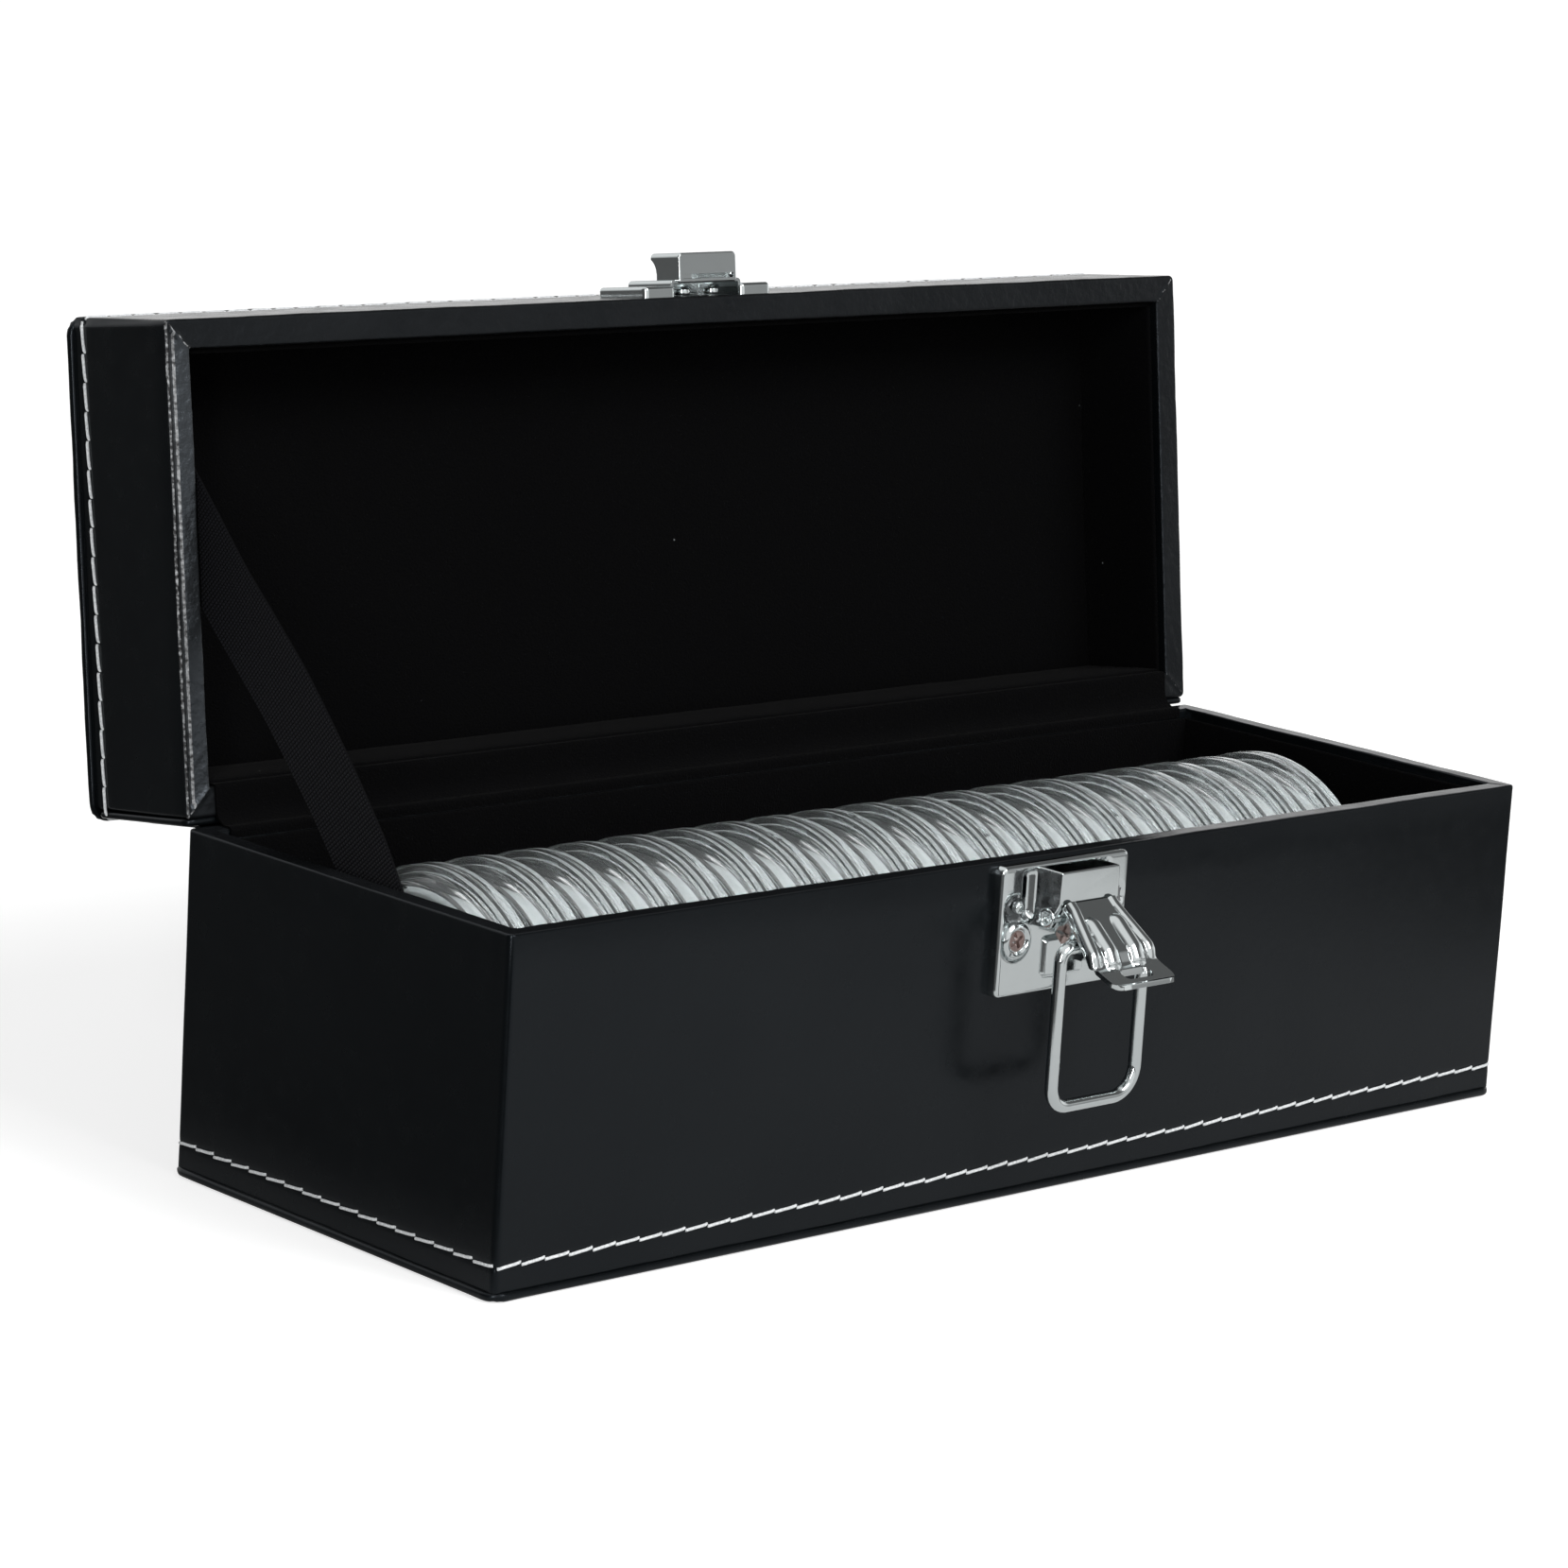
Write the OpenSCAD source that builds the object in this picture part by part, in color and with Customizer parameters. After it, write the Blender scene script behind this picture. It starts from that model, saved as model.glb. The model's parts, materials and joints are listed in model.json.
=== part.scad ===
// Coin display case: a leather-wrapped board box with a hinged lid, a ribbon stay,
// a toggle latch and a row of round snap capsules. Millimetres, +Z up, +X to the right.
// The origin is the centre of the underside, the front faces -Y and the lid stands open.

/* [Case] */
// Width over the leather walls
case_w = 222; // [190:1:260]
// Depth from the front wall to the hinge line
case_d = 77; // [72:1:95]
// Height of the base, from the table to the rim line
base_h = 54.6; // [52:0.1:70]
// Height of the closed lid above the rim line
lid_h = 25.2; // [22:0.1:40]
// Radius of the upright leather corners
corner_r = 1.6; // [1:0.1:2.2]
// Angle at which the ribbon stops the lid
open_angle = 97.8; // [92:0.1:105]
// Space between the two rims when the case is shut
rim_gap = 0.3; // [0.2:0.05:0.6]

/* [Boards and leather] */
// Thickness of the base's wall boards
base_board_t = 2; // [1.6:0.1:3]
// Thickness of the lid's wall boards
lid_board_t = 3.2; // [2.4:0.1:4]
// Thickness of the base's bottom board
bottom_board_t = 1.5; // [1:0.1:3]
// Thickness of the lid's top board
top_board_t = 3.2; // [2:0.1:4]
// Thickness of the leather
leather_t = 0.7; // [0.5:0.05:0.9]
// Radius of the leather where it rolls over a rim
rim_roll_r = 0.9; // [0.6:0.05:1.2]
// Height of the leather turned in behind the rim
turn_in = 8; // [5:0.5:12]
// Thickness of the leather-wrapped card under the base and on the lid
cover_t = 1.3; // [1:0.1:2]
// How far that card stands out past the walls
cover_proud = 0.7; // [0.4:0.1:1]
// Corner radius of that card
cover_r = 3; // [2:0.1:5]
// Thickness of the leather-wrapped card on the lid's hinge side
back_cover_t = 1.2; // [0.9:0.1:1.6]

/* [Lining] */
// Thickness of the velvet-covered wall panels
wall_lining_t = 0.8; // [0.5:0.1:1.2]
// Thickness of the velvet on the floor
floor_lining_t = 0.6; // [0.4:0.1:1.2]
// Thickness of the padded velvet under the lid's top
top_lining_t = 1.5; // [0.8:0.1:3]
// Distance of the lining's edge below a rim
lining_drop = 1.5; // [1:0.1:3]

/* [Hinge and ribbon] */
// Thickness of the outer hinge strip
hinge_strip_t = 0.5; // [0.4:0.1:0.8]
// Height of the hinge strip on each side of the hinge line
hinge_strip_h = 14; // [8:0.5:18]
// Width of the hinge strip left free at each end
hinge_strip_inset = 3; // [1:0.5:10]
// Thickness of the inner hinge cloth
hinge_cloth_t = 0.5; // [0.3:0.1:0.6]
// Width of the ribbon
ribbon_w = 13; // [8:0.5:16]
// Thickness of the ribbon
ribbon_t = 0.4; // [0.3:0.1:0.6]
// Depth of the ribbon's end below the base rim
ribbon_base_drop = 9; // [7.5:0.5:14]
// Height of the ribbon's end above the closed lid's rim
ribbon_lid_rise = 9.8; // [8:0.2:10.4]
// Distance of the ribbon's base end in front of the tray's centre
ribbon_base_front = 6.5; // [3:0.5:9]
// Distance of the ribbon's lid end in front of the tray's centre, with the lid shut
ribbon_lid_front = 15.2; // [10:0.2:18]
// How far the ribbon bows up from its chord
ribbon_bow = 3.7; // [2:0.1:5]

/* [Capsules] */
// Outer diameter of a capsule over its snap rim
capsule_d = 51; // [46:0.5:52]
// Diameter of a capsule's raised faces
capsule_face_d = 46.8; // [42:0.1:47]
// Thickness of a capsule
capsule_t = 10; // [8:0.1:12]
// Space between two capsules
capsule_gap = 0.1; // [0.1:0.1:0.5]
// Wall thickness of a capsule
capsule_wall = 1.2; // [0.9:0.1:1.5]
// Width of each half's snap rim
snap_rim_t = 1.9; // [1.4:0.1:2.4]
// Space left in the tray past the last capsule
row_space = 11.4; // [5:0.2:16]
// Inner diameter of the foam ring
foam_hole_d = 27; // [16:1:38]

/* [Latch plate] */
// Width of the latch plate
plate_w = 28.1; // [26:0.1:32]
// Height of the latch plate
plate_h = 20.9; // [19:0.1:24]
// How far the plate's face stands off the leather
plate_proud = 1.9; // [1.6:0.1:2.2]
// Thickness of the latch's sheet metal
sheet_t = 0.8; // [0.6:0.05:0.9]
// Distance of the plate's top edge below the base rim line
plate_drop = 0.65; // [0.5:0.05:1.5]
// Distance of a screw from the plate's side edge
screw_inset = 3.6; // [3.3:0.1:3.8]
// Distance of the screws below the plate's top edge
screw_drop = 11.9; // [11.4:0.1:13]
// Diameter of a screw's head
screw_head_d = 6; // [5.4:0.1:6.4]
// Diameter of a screw's shank
screw_shank_d = 2.8; // [2.2:0.1:3.2]
// Distance of the small knobs below the plate's top edge
knob_drop = 6.6; // [6:0.1:7]
// Diameter of a small knob
knob_d = 2.1; // [1.6:0.1:2.4]
// Width of the raised pad
pad_w = 8.2; // [6:0.1:9]
// Height of the raised pad
pad_h = 6.3; // [5:0.1:7]

/* [Bridge, lever and bail] */
// Width of the bridge
bridge_w = 13; // [12.6:0.1:13.4]
// How far the bridge's face stands off the leather
bridge_out = 7.15; // [6.9:0.05:7.15]
// Height of the bridge's front face
bridge_face_h = 4.95; // [4.4:0.05:4.95]
// Distance of the pin's axis behind the bridge's face
pin_back = 2.4; // [2.4:0.05:2.6]
// Distance of the pin's axis below the bridge's top
pin_drop = 7.55; // [7.55:0.05:7.8]
// Diameter of the pin
pin_d = 2.1; // [1.6:0.1:2.2]
// Thickness of the lever's sheet
lever_t = 0.9; // [0.7:0.05:0.95]
// Width of the lever at its finger lip
lever_w = 13.8; // [12:0.1:14]
// Distance between the centre lines of the bail's legs
bail_w = 18.5; // [18:0.1:19.5]
// Length of the bail, from its pivot to the middle of its bar
bail_len = 25.3; // [25.2:0.1:26]
// Diameter of the bail's wire
wire_d = 2.1; // [1.8:0.1:2.2]
// Radius of the bail's lower corners, at the wire's middle
bail_r = 3.9; // [2.5:0.1:5]

/* [Catch] */
// Width of the catch
catch_w = 27.9; // [26:0.1:30]
// Height of the catch
catch_h = 11.9; // [10:0.1:13]
// Distance of the catch above the lid's rim
catch_lift = 1; // [0.6:0.1:1.2]
// How far the catch's arch stands off the leather
arch_out = 2.8; // [2.6:0.1:3]
// Width of the hook block
hook_w = 12.7; // [11.5:0.1:13]
// Height of the hook block
hook_h = 7.2; // [6.6:0.1:7.2]
// How far the hook stands off the leather
hook_out = 7.2; // [6.4:0.1:7.4]

/* [Hidden] */
$fn = 48;
blend_fn = 24;
skim = 1;
fit = 0.05;

front_y = -case_d / 2;
hinge = [case_d / 2, base_h];
base_rim_z = base_h - rim_gap / 2;
lid_rim_z = base_h + rim_gap / 2;
lid_top_z = base_h + lid_h;

base_wall_t = base_board_t + 2 * leather_t;
lid_wall_t = lid_board_t + 2 * leather_t;
base_wall_h = base_rim_z - cover_t;
lid_wall_h = lid_top_z - cover_t - lid_rim_z;
lid_d = case_d - back_cover_t;
lid_y = -back_cover_t / 2;
floor_z = cover_t + bottom_board_t + floor_lining_t;
ceiling_z = lid_top_z - cover_t - top_board_t - top_lining_t;

tray_w = case_w - 2 * base_wall_t - 2 * wall_lining_t;
lid_room_w = case_w - 2 * lid_wall_t - 2 * wall_lining_t;

// The ribbon hangs against the lid's lining, which is the nearer of the two to the middle.
ribbon_x = -lid_room_w / 2 + ribbon_t / 2;
ribbon_air = 1;
ribbon_room = (tray_w - lid_room_w) / 2 + ribbon_t + ribbon_air;
capsule_pitch = capsule_t + capsule_gap;
capsule_count = floor((tray_w - row_space - ribbon_room) / capsule_pitch);
row_end_x = tray_w / 2 - row_space;
capsule_z = floor_z + capsule_d / 2;
cavity_r = capsule_face_d / 2 - capsule_wall;
edge_r = 0.8;

plate_top_z = base_h - plate_drop;
plate_r = 1.2;
screw_x = plate_w / 2 - screw_inset;
screw_z = plate_top_z - screw_drop;
screw_head_h = 1.3;
knob_z = plate_top_z - knob_drop;
pad_t = 0.8;
pad_drop = 11.6;
bridge_drop = 0.55;
bridge_t = 0.9;
bridge_top_z = plate_top_z - bridge_drop;
pivot = [bridge_out - pin_back, bridge_top_z - pin_drop];
pin_head_r = 1.65;
pin_head_t = 0.5;

// The lever's side view, counted from its pin: outwards, then up.
lever_heel = [2.55, 2.35];
lever_knee = [9.65, -3.75];
lever_foot = [10.85, -6.05];
lever_tip = [16.35, -8.15];
bail_eye = [5.85, -3.55];
eye_r = 1.9;
ear_t = 0.9;
ear_play = 0.25;
ear_end = 0.3;
ear_outer_x = bridge_w / 2 - bridge_t - ear_play;
bead_r = 1.1;
bead_x = 2.9;
bead_run = 0.42;
bead_foot = 0.2;
bail_top_r = 2;
bail_pivot = pivot + bail_eye;

catch_z = lid_rim_z + catch_lift;
catch_sheet = 0.6;
arch_w = 14.3;
wing_w = (catch_w - arch_w) / 2;
catch_tab_t = 0.5;
rivet_x = 3.2;
rivet_rise = 3;
rivet_head_r = 1.3;
rivet_r = 0.9;

leather = [0.07, 0.07, 0.08];
board_grey = [0.45, 0.42, 0.38];
velvet = [0.03, 0.03, 0.035];
ribbon_black = [0.05, 0.05, 0.06];
chrome = [0.8, 0.81, 0.83];
clear = [0.85, 0.88, 0.9, 0.4];
foam_white = [0.93, 0.93, 0.92];

function capsule_name(i) = str("capsule_", i < 10 ? "0" : "", i);

// Where a point of the closed lid's side view, as depth and height, stands at open_angle.
function opened(p) =
    let (q = p - hinge, c = cos(open_angle), s = sin(open_angle))
    hinge + [q[0] * c + q[1] * s, -q[0] * s + q[1] * c];

function unit(v) = v / norm(v);

function normal_at(p, i) =
    let (t = unit(p[min(i + 1, len(p) - 1)] - p[max(i - 1, 0)]))
    [-t[1], t[0]];

// Outline of a strip of width w that follows the points p.
function strip(p, w) = concat(
    [for (i = [0:len(p) - 1]) p[i] + normal_at(p, i) * w / 2],
    [for (i = [len(p) - 1:-1:0]) p[i] - normal_at(p, i) * w / 2]
);

function bow(a, m, b, t) = a * (1 - t) * (1 - t) + m * 2 * t * (1 - t) + b * t * t;

// Everything on the lid is drawn shut and then turned open with this.
module on_lid() {
    translate([0, hinge[0], hinge[1]])
        rotate([-open_angle, 0, 0])
            translate([0, -hinge[0], -hinge[1]])
                children();
}

// Side view drawn as depth and height, stretched evenly to both sides of x = 0.
module side_view(w) {
    rotate([90, 0, 90]) linear_extrude(w, center = true) children();
}

// Side view drawn as distance off the front leather and height.
module off_front(w) {
    translate([0, front_y, 0]) rotate([90, 0, -90]) linear_extrude(w, center = true) children();
}

// Front view drawn as x and height, from the leather to the distance t off it.
module on_front(t) {
    translate([0, front_y, 0]) rotate([90, 0, 0]) linear_extrude(t) children();
}

module rounded_rect(w, d, r) {
    square([w - 2 * r, d], center = true);
    square([w, d - 2 * r], center = true);
    for (x = [-1, 1], y = [-1, 1]) translate([x * (w / 2 - r), y * (d / 2 - r)]) circle(r);
}

// Section of a rolled board's edge, from its corner centre outwards.
module rolled_edge(t, r) {
    square([r - t / 2, t]);
    translate([r - t / 2, 0]) intersection() {
        translate([0, t / 2]) circle(t / 2);
        square([t, t]);
    }
}

// A wrapped card: flat faces, half-round edges and round corners.
module rolled_board(w, d, t, r) {
    straight_w = w - 2 * r;
    straight_d = d - 2 * r;
    translate([-straight_w / 2, -straight_d / 2, 0]) cube([straight_w, straight_d, t]);
    for (side = [0, 180]) rotate(side) {
        translate([0, straight_d / 2, 0])
            rotate([90, 0, 90]) linear_extrude(straight_w, center = true) rolled_edge(t, r);
        translate([straight_w / 2, 0, 0])
            rotate([90, 0, 0]) linear_extrude(straight_d, center = true) rolled_edge(t, r);
        translate([straight_w / 2, straight_d / 2, 0])
            rotate_extrude(angle = 90) rolled_edge(t, r);
        translate([-straight_w / 2, straight_d / 2, 0])
            rotate(90) rotate_extrude(angle = 90) rolled_edge(t, r);
    }
}

// Side view of a closed block of depth d, whose upper edges are rolled.
module rolled_top(d, h) {
    translate([-d / 2, 0]) square([d, h - rim_roll_r]);
    translate([rim_roll_r - d / 2, 0]) square([d - 2 * rim_roll_r, h]);
    for (side = [-1, 1]) translate([side * (d / 2 - rim_roll_r), h - rim_roll_r]) circle(rim_roll_r);
}

// Side view of an opening of depth d, whose upper edges flare to meet a rolled rim.
module flared_opening(d, h) {
    translate([-d / 2, -skim]) square([d, h + 2 * skim]);
    for (side = [-1, 1]) difference() {
        translate([side * d / 2 - rim_roll_r, h - rim_roll_r]) square([2 * rim_roll_r, rim_roll_r + skim]);
        translate([side * (d / 2 + rim_roll_r), h - rim_roll_r]) circle(rim_roll_r);
    }
}

// Leather skin of four walls, rim up: up the outside, over the boards and a little way down inside.
module leather_walls(w, d, h, board) {
    wall = board + 2 * leather_t;
    skin = 2 * leather_t;
    lap = 2 * (leather_t + board);
    difference() {
        intersection() {
            linear_extrude(h) rounded_rect(w, d, corner_r);
            side_view(w) rolled_top(d, h);
            rotate(90) side_view(d) rolled_top(w, h);
        }
        intersection() {
            side_view(w) flared_opening(d - 2 * wall, h);
            rotate(90) side_view(d) flared_opening(w - 2 * wall, h);
        }
        difference() {
            translate([(skin - w) / 2, (skin - d) / 2, -skim])
                cube([w - skin, d - skin, h - leather_t + skim]);
            translate([(lap - w) / 2, (lap - d) / 2, h - turn_in]) cube([w - lap, d - lap, turn_in]);
        }
    }
}

// A board inside the front or back leather; the same for both, turned half round.
module long_board(w, d, h, board) {
    translate([leather_t - w / 2, leather_t - d / 2, 0]) cube([w - 2 * leather_t, board, h - leather_t]);
}

// A board inside the left or right leather, between the two long ones.
module short_board(w, d, h, board) {
    inset = leather_t + board;
    translate([leather_t - w / 2, inset - d / 2, 0]) cube([board, d - 2 * inset, h - leather_t]);
}

// Four lining panels that stand inside a w by d opening.
module lining_walls(w, d, h) {
    for (side = [0, 180]) rotate(side) {
        translate([-w / 2, -d / 2, 0]) cube([w, wall_lining_t, h]);
        translate([-w / 2, wall_lining_t - d / 2, 0]) cube([wall_lining_t, d - 2 * wall_lining_t, h]);
    }
}

// A pair of holes at x and -x, from the distance out off the leather to the given depth behind it.
module hole_pair(x, z, r, out, depth) {
    for (side = [-1, 1]) translate([side * x, front_y - out, z])
        rotate([-90, 0, 0]) cylinder(r = r, h = out + depth);
}

module screw_holes(out, depth) {
    hole_pair(screw_x, screw_z, screw_shank_d / 2 + fit, out, depth);
}

module rivet_holes(out, depth) {
    hole_pair(rivet_x, catch_z + rivet_rise, rivet_r + fit, out, depth);
}

module in_base() {
    translate([0, 0, cover_t]) children();
}

// The lid's walls are built rim up, so they are flipped and set on the rim line.
module in_lid() {
    on_lid() translate([0, lid_y, lid_top_z - cover_t]) mirror([0, 0, 1]) children();
}

module base_bottom_cover() {
    color(leather) rolled_board(case_w + 2 * cover_proud, case_d + 2 * cover_proud, cover_t, cover_r);
}

module base_bottom_board() {
    inset = 2 * (leather_t + base_board_t);
    color(board_grey) translate([(inset - case_w) / 2, (inset - case_d) / 2, cover_t])
        cube([case_w - inset, case_d - inset, bottom_board_t]);
}

module base_front_board() {
    color(board_grey) difference() {
        in_base() long_board(case_w, case_d, base_wall_h, base_board_t);
        screw_holes(0, leather_t + base_board_t + skim);
    }
}

module base_back_board() {
    color(board_grey) in_base() rotate(180) long_board(case_w, case_d, base_wall_h, base_board_t);
}

module base_left_board() {
    color(board_grey) in_base() short_board(case_w, case_d, base_wall_h, base_board_t);
}

module base_right_board() {
    color(board_grey) in_base() rotate(180) short_board(case_w, case_d, base_wall_h, base_board_t);
}

module base_leather_wrap() {
    color(leather) difference() {
        in_base() leather_walls(case_w, case_d, base_wall_h, base_board_t);
        screw_holes(skim, leather_t + skim);
    }
}

module base_wall_lining() {
    color(velvet) translate([0, 0, floor_z])
        lining_walls(case_w - 2 * base_wall_t, case_d - 2 * base_wall_t,
                     base_rim_z - lining_drop - floor_z);
}

module base_floor_lining() {
    inset = 2 * (leather_t + base_board_t);
    color(velvet) translate([(inset - case_w) / 2, (inset - case_d) / 2, cover_t + bottom_board_t])
        cube([case_w - inset, case_d - inset, floor_lining_t]);
}

module lid_top_cover() {
    color(leather) on_lid() translate([0, 0, lid_top_z - cover_t])
        rolled_board(case_w + 2 * cover_proud, case_d + 2 * cover_proud, cover_t, cover_r);
}

module lid_back_cover() {
    color(leather) on_lid() translate([0, hinge[0], lid_rim_z + lid_wall_h / 2])
        rotate([90, 0, 0]) rolled_board(case_w, lid_wall_h, back_cover_t, corner_r);
}

module lid_top_board() {
    inset = leather_t + lid_board_t;
    color(board_grey) on_lid()
        translate([inset - case_w / 2, lid_y + inset - lid_d / 2, lid_top_z - cover_t - top_board_t])
            cube([case_w - 2 * inset, lid_d - 2 * inset, top_board_t]);
}

module lid_front_board() {
    color(board_grey) difference() {
        in_lid() long_board(case_w, lid_d, lid_wall_h, lid_board_t);
        on_lid() rivet_holes(0, leather_t + lid_board_t + leather_t / 2);
    }
}

module lid_back_board() {
    color(board_grey) in_lid() rotate(180) long_board(case_w, lid_d, lid_wall_h, lid_board_t);
}

module lid_left_board() {
    color(board_grey) in_lid() short_board(case_w, lid_d, lid_wall_h, lid_board_t);
}

module lid_right_board() {
    color(board_grey) in_lid() rotate(180) short_board(case_w, lid_d, lid_wall_h, lid_board_t);
}

module lid_leather_wrap() {
    color(leather) difference() {
        in_lid() leather_walls(case_w, lid_d, lid_wall_h, lid_board_t);
        on_lid() rivet_holes(skim, leather_t + skim);
    }
}

module lid_wall_lining() {
    z = lid_rim_z + lining_drop;
    color(velvet) on_lid() translate([0, lid_y, z])
        lining_walls(case_w - 2 * lid_wall_t, lid_d - 2 * lid_wall_t, ceiling_z - z);
}

module lid_top_lining() {
    inset = leather_t + lid_board_t;
    color(velvet) on_lid() translate([inset - case_w / 2, lid_y + inset - lid_d / 2, ceiling_z])
        cube([case_w - 2 * inset, lid_d - 2 * inset, top_lining_t]);
}

module hinge_leather() {
    bend = 1.2;
    y = hinge[0] + hinge_strip_t / 2;
    path = [
        [y, base_h - hinge_strip_h], [y, base_h - bend],
        opened([y, base_h + bend]), opened([y, base_h + hinge_strip_h])
    ];
    color(leather) side_view(case_w - 2 * hinge_strip_inset) polygon(strip(path, hinge_strip_t));
}

module hinge_cloth() {
    tuck = 1.3;
    relief = 1.4;
    half = hinge_cloth_t / 2;
    base_y = hinge[0] - base_wall_t - half;
    lid_cloth_y = hinge[0] - back_cover_t - lid_wall_t - half;
    path = [
        [base_y, base_rim_z - tuck], [base_y, base_rim_z + half],
        [hinge[0] - relief, base_rim_z + half],
        opened([hinge[0] - relief, lid_rim_z - half]),
        opened([lid_cloth_y, lid_rim_z - half]), opened([lid_cloth_y, lid_rim_z + tuck])
    ];
    color(velvet) side_view(lid_room_w) polygon(strip(path, hinge_cloth_t));
}

// Woven tape in the plane of the left wall; its lower end is folded out to reach the base lining.
module lid_stay_ribbon() {
    steps = 12;
    foot = [-ribbon_base_front, base_h - ribbon_base_drop];
    head = opened([-ribbon_lid_front, base_h + ribbon_lid_rise]);
    chord = unit(head - foot);
    middle = (foot + head) / 2 + 2 * ribbon_bow * [-chord[1], chord[0]];
    path = [for (i = [0:steps]) bow(foot, middle, head, i / steps)];
    fold = [foot, bow(foot, middle, head, 1 / steps)];
    fold_t = (tray_w - lid_room_w) / 2 + ribbon_t;
    color(ribbon_black) {
        translate([ribbon_x, 0, 0]) side_view(ribbon_t) polygon(strip(path, ribbon_w));
        translate([(fold_t - tray_w) / 2, 0, 0]) side_view(fold_t) polygon(strip(fold, ribbon_w));
    }
}

// Section of one clear half, as radius and distance from its outer face to the seam.
module capsule_half() {
    face_r = capsule_face_d / 2;
    rim_r = capsule_d / 2;
    half_t = capsule_t / 2 - fit / 2;
    rim_a = half_t - snap_rim_t;
    rim_round = 0.4;
    difference() {
        union() {
            square([face_r - edge_r, half_t]);
            translate([0, edge_r]) square([face_r, half_t - edge_r]);
            translate([face_r - edge_r, edge_r]) circle(edge_r);
            translate([0, rim_a]) square([rim_r - rim_round, snap_rim_t]);
            translate([0, rim_a + rim_round]) square([rim_r, snap_rim_t - rim_round]);
            translate([rim_r - rim_round, rim_a + rim_round]) circle(rim_round);
        }
        translate([0, capsule_wall]) square([cavity_r, half_t]);
        translate([-capsule_t, 0]) square([capsule_t, capsule_t]);
    }
}

function capsule_x(i) = row_end_x - (capsule_count - i) * capsule_pitch - capsule_t;

// A capsule lies with its axis along x; its second half faces the first.
module capsule(i) {
    color(clear) translate([capsule_x(i), 0, capsule_z]) rotate([0, 90, 0]) {
        rotate_extrude() capsule_half();
        translate([0, 0, capsule_t]) mirror([0, 0, 1]) rotate_extrude() capsule_half();
    }
}

module foam_inserts() {
    slack = 0.15;
    color(foam_white) for (i = [1:capsule_count])
        translate([capsule_x(i) + capsule_wall + slack, 0, capsule_z]) rotate([0, 90, 0]) difference() {
            cylinder(r = cavity_r - slack, h = capsule_t - 2 * capsule_wall - 2 * slack);
            translate([0, 0, -skim]) cylinder(d = foam_hole_d, h = capsule_t + 2 * skim);
        }
}

// Shallow pan of sheet metal, open towards the leather, centred on the height z.
module pan(w, h, z, out, sheet, r) {
    difference() {
        hull() {
            on_front(out - sheet / 2) translate([0, z]) rounded_rect(w, h, r);
            on_front(out) translate([0, z]) rounded_rect(w - sheet, h - sheet, r - sheet / 2);
        }
        translate([0, skim, 0]) on_front(out - sheet + skim) translate([0, z])
            square([w - 2 * sheet, h - 2 * sheet], center = true);
    }
}

module latch_plate() {
    slot_w = 0.6;
    slot_h = 4.2;
    slot_gap = 1.7;
    slot_x = bridge_w / 2 + slot_gap;
    ring_w = 0.5;
    ring_depth = 0.35;
    z = plate_top_z - plate_h / 2;
    color(chrome) difference() {
        union() {
            pan(plate_w, plate_h, z, plate_proud, sheet_t, plate_r);
            translate([0, -plate_proud, 0]) on_front(pad_t)
                translate([0, plate_top_z - pad_drop - pad_h / 2]) rounded_rect(pad_w, pad_h, edge_r);
        }
        screw_holes(plate_proud + skim, 0);
        for (side = [-1, 1]) {
            translate([side * slot_x, front_y - plate_proud - skim, bridge_top_z - slot_h])
                cube([slot_w, sheet_t + 2 * skim, slot_h]);
            translate([side * screw_x, front_y - plate_proud + ring_depth, knob_z]) rotate([90, 0, 0])
                difference() {
                    cylinder(d = knob_d + 2 * ring_w, h = skim);
                    translate([0, 0, -skim]) cylinder(d = knob_d, h = 3 * skim);
                }
        }
    }
    color(chrome) for (side = [-1, 1])
        translate([side * screw_x, front_y - plate_proud, knob_z]) intersection() {
            sphere(d = knob_d);
            translate([0, -knob_d / 2, 0]) cube(knob_d, center = true);
        }
}

// Side view of a bridge wall: a cheek above, and an eye round the pin below.
module bridge_cheek() {
    face_z = bridge_top_z - bridge_face_h;
    polygon([
        [plate_proud, bridge_top_z], [bridge_out, bridge_top_z], [bridge_out, face_z],
        [pivot[0] + eye_r, pivot[1]], [pivot[0], pivot[1] - eye_r], [plate_proud, pivot[1] - eye_r]
    ]);
    translate(pivot) circle(eye_r);
}

module latch_bridge() {
    foot_w = 1.3;
    foot_t = 0.4;
    foot_h = 8;
    inner_w = bridge_w - 2 * bridge_t;
    open_z = pivot[1] - 2 * eye_r;
    face_z = bridge_top_z - bridge_face_h;
    color(chrome) difference() {
        union() {
            off_front(bridge_w) bridge_cheek();
            translate([0, -plate_proud, 0]) on_front(foot_t)
                translate([0, bridge_top_z - foot_h / 2])
                    square([bridge_w + 2 * foot_w, foot_h], center = true);
        }
        off_front(inner_w) translate([-skim, open_z])
            square([bridge_out - bridge_t + skim, bridge_top_z - open_z + skim]);
        off_front(inner_w) translate([0, open_z]) square([bridge_out + skim, face_z - open_z]);
        off_front(bridge_w + 2 * skim) translate(pivot) circle(pin_d / 2 + fit / 2);
    }
}

// Tubular rivet along the lever's axis, with a dimpled head on each side.
module latch_pin() {
    clear_of_wall = 0.02;
    dimple_r = 0.7;
    reach = bridge_w / 2 + clear_of_wall;
    color(chrome) translate([0, front_y - pivot[0], pivot[1]]) rotate([0, 90, 0]) {
        cylinder(d = pin_d, h = 2 * reach, center = true);
        for (side = [0, 180]) rotate([side, 0, 0]) translate([0, 0, reach]) difference() {
            cylinder(r = pin_head_r, h = pin_head_t);
            translate([0, 0, pin_head_t / 2]) cylinder(r = dimple_r, h = skim);
        }
    }
}

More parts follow.
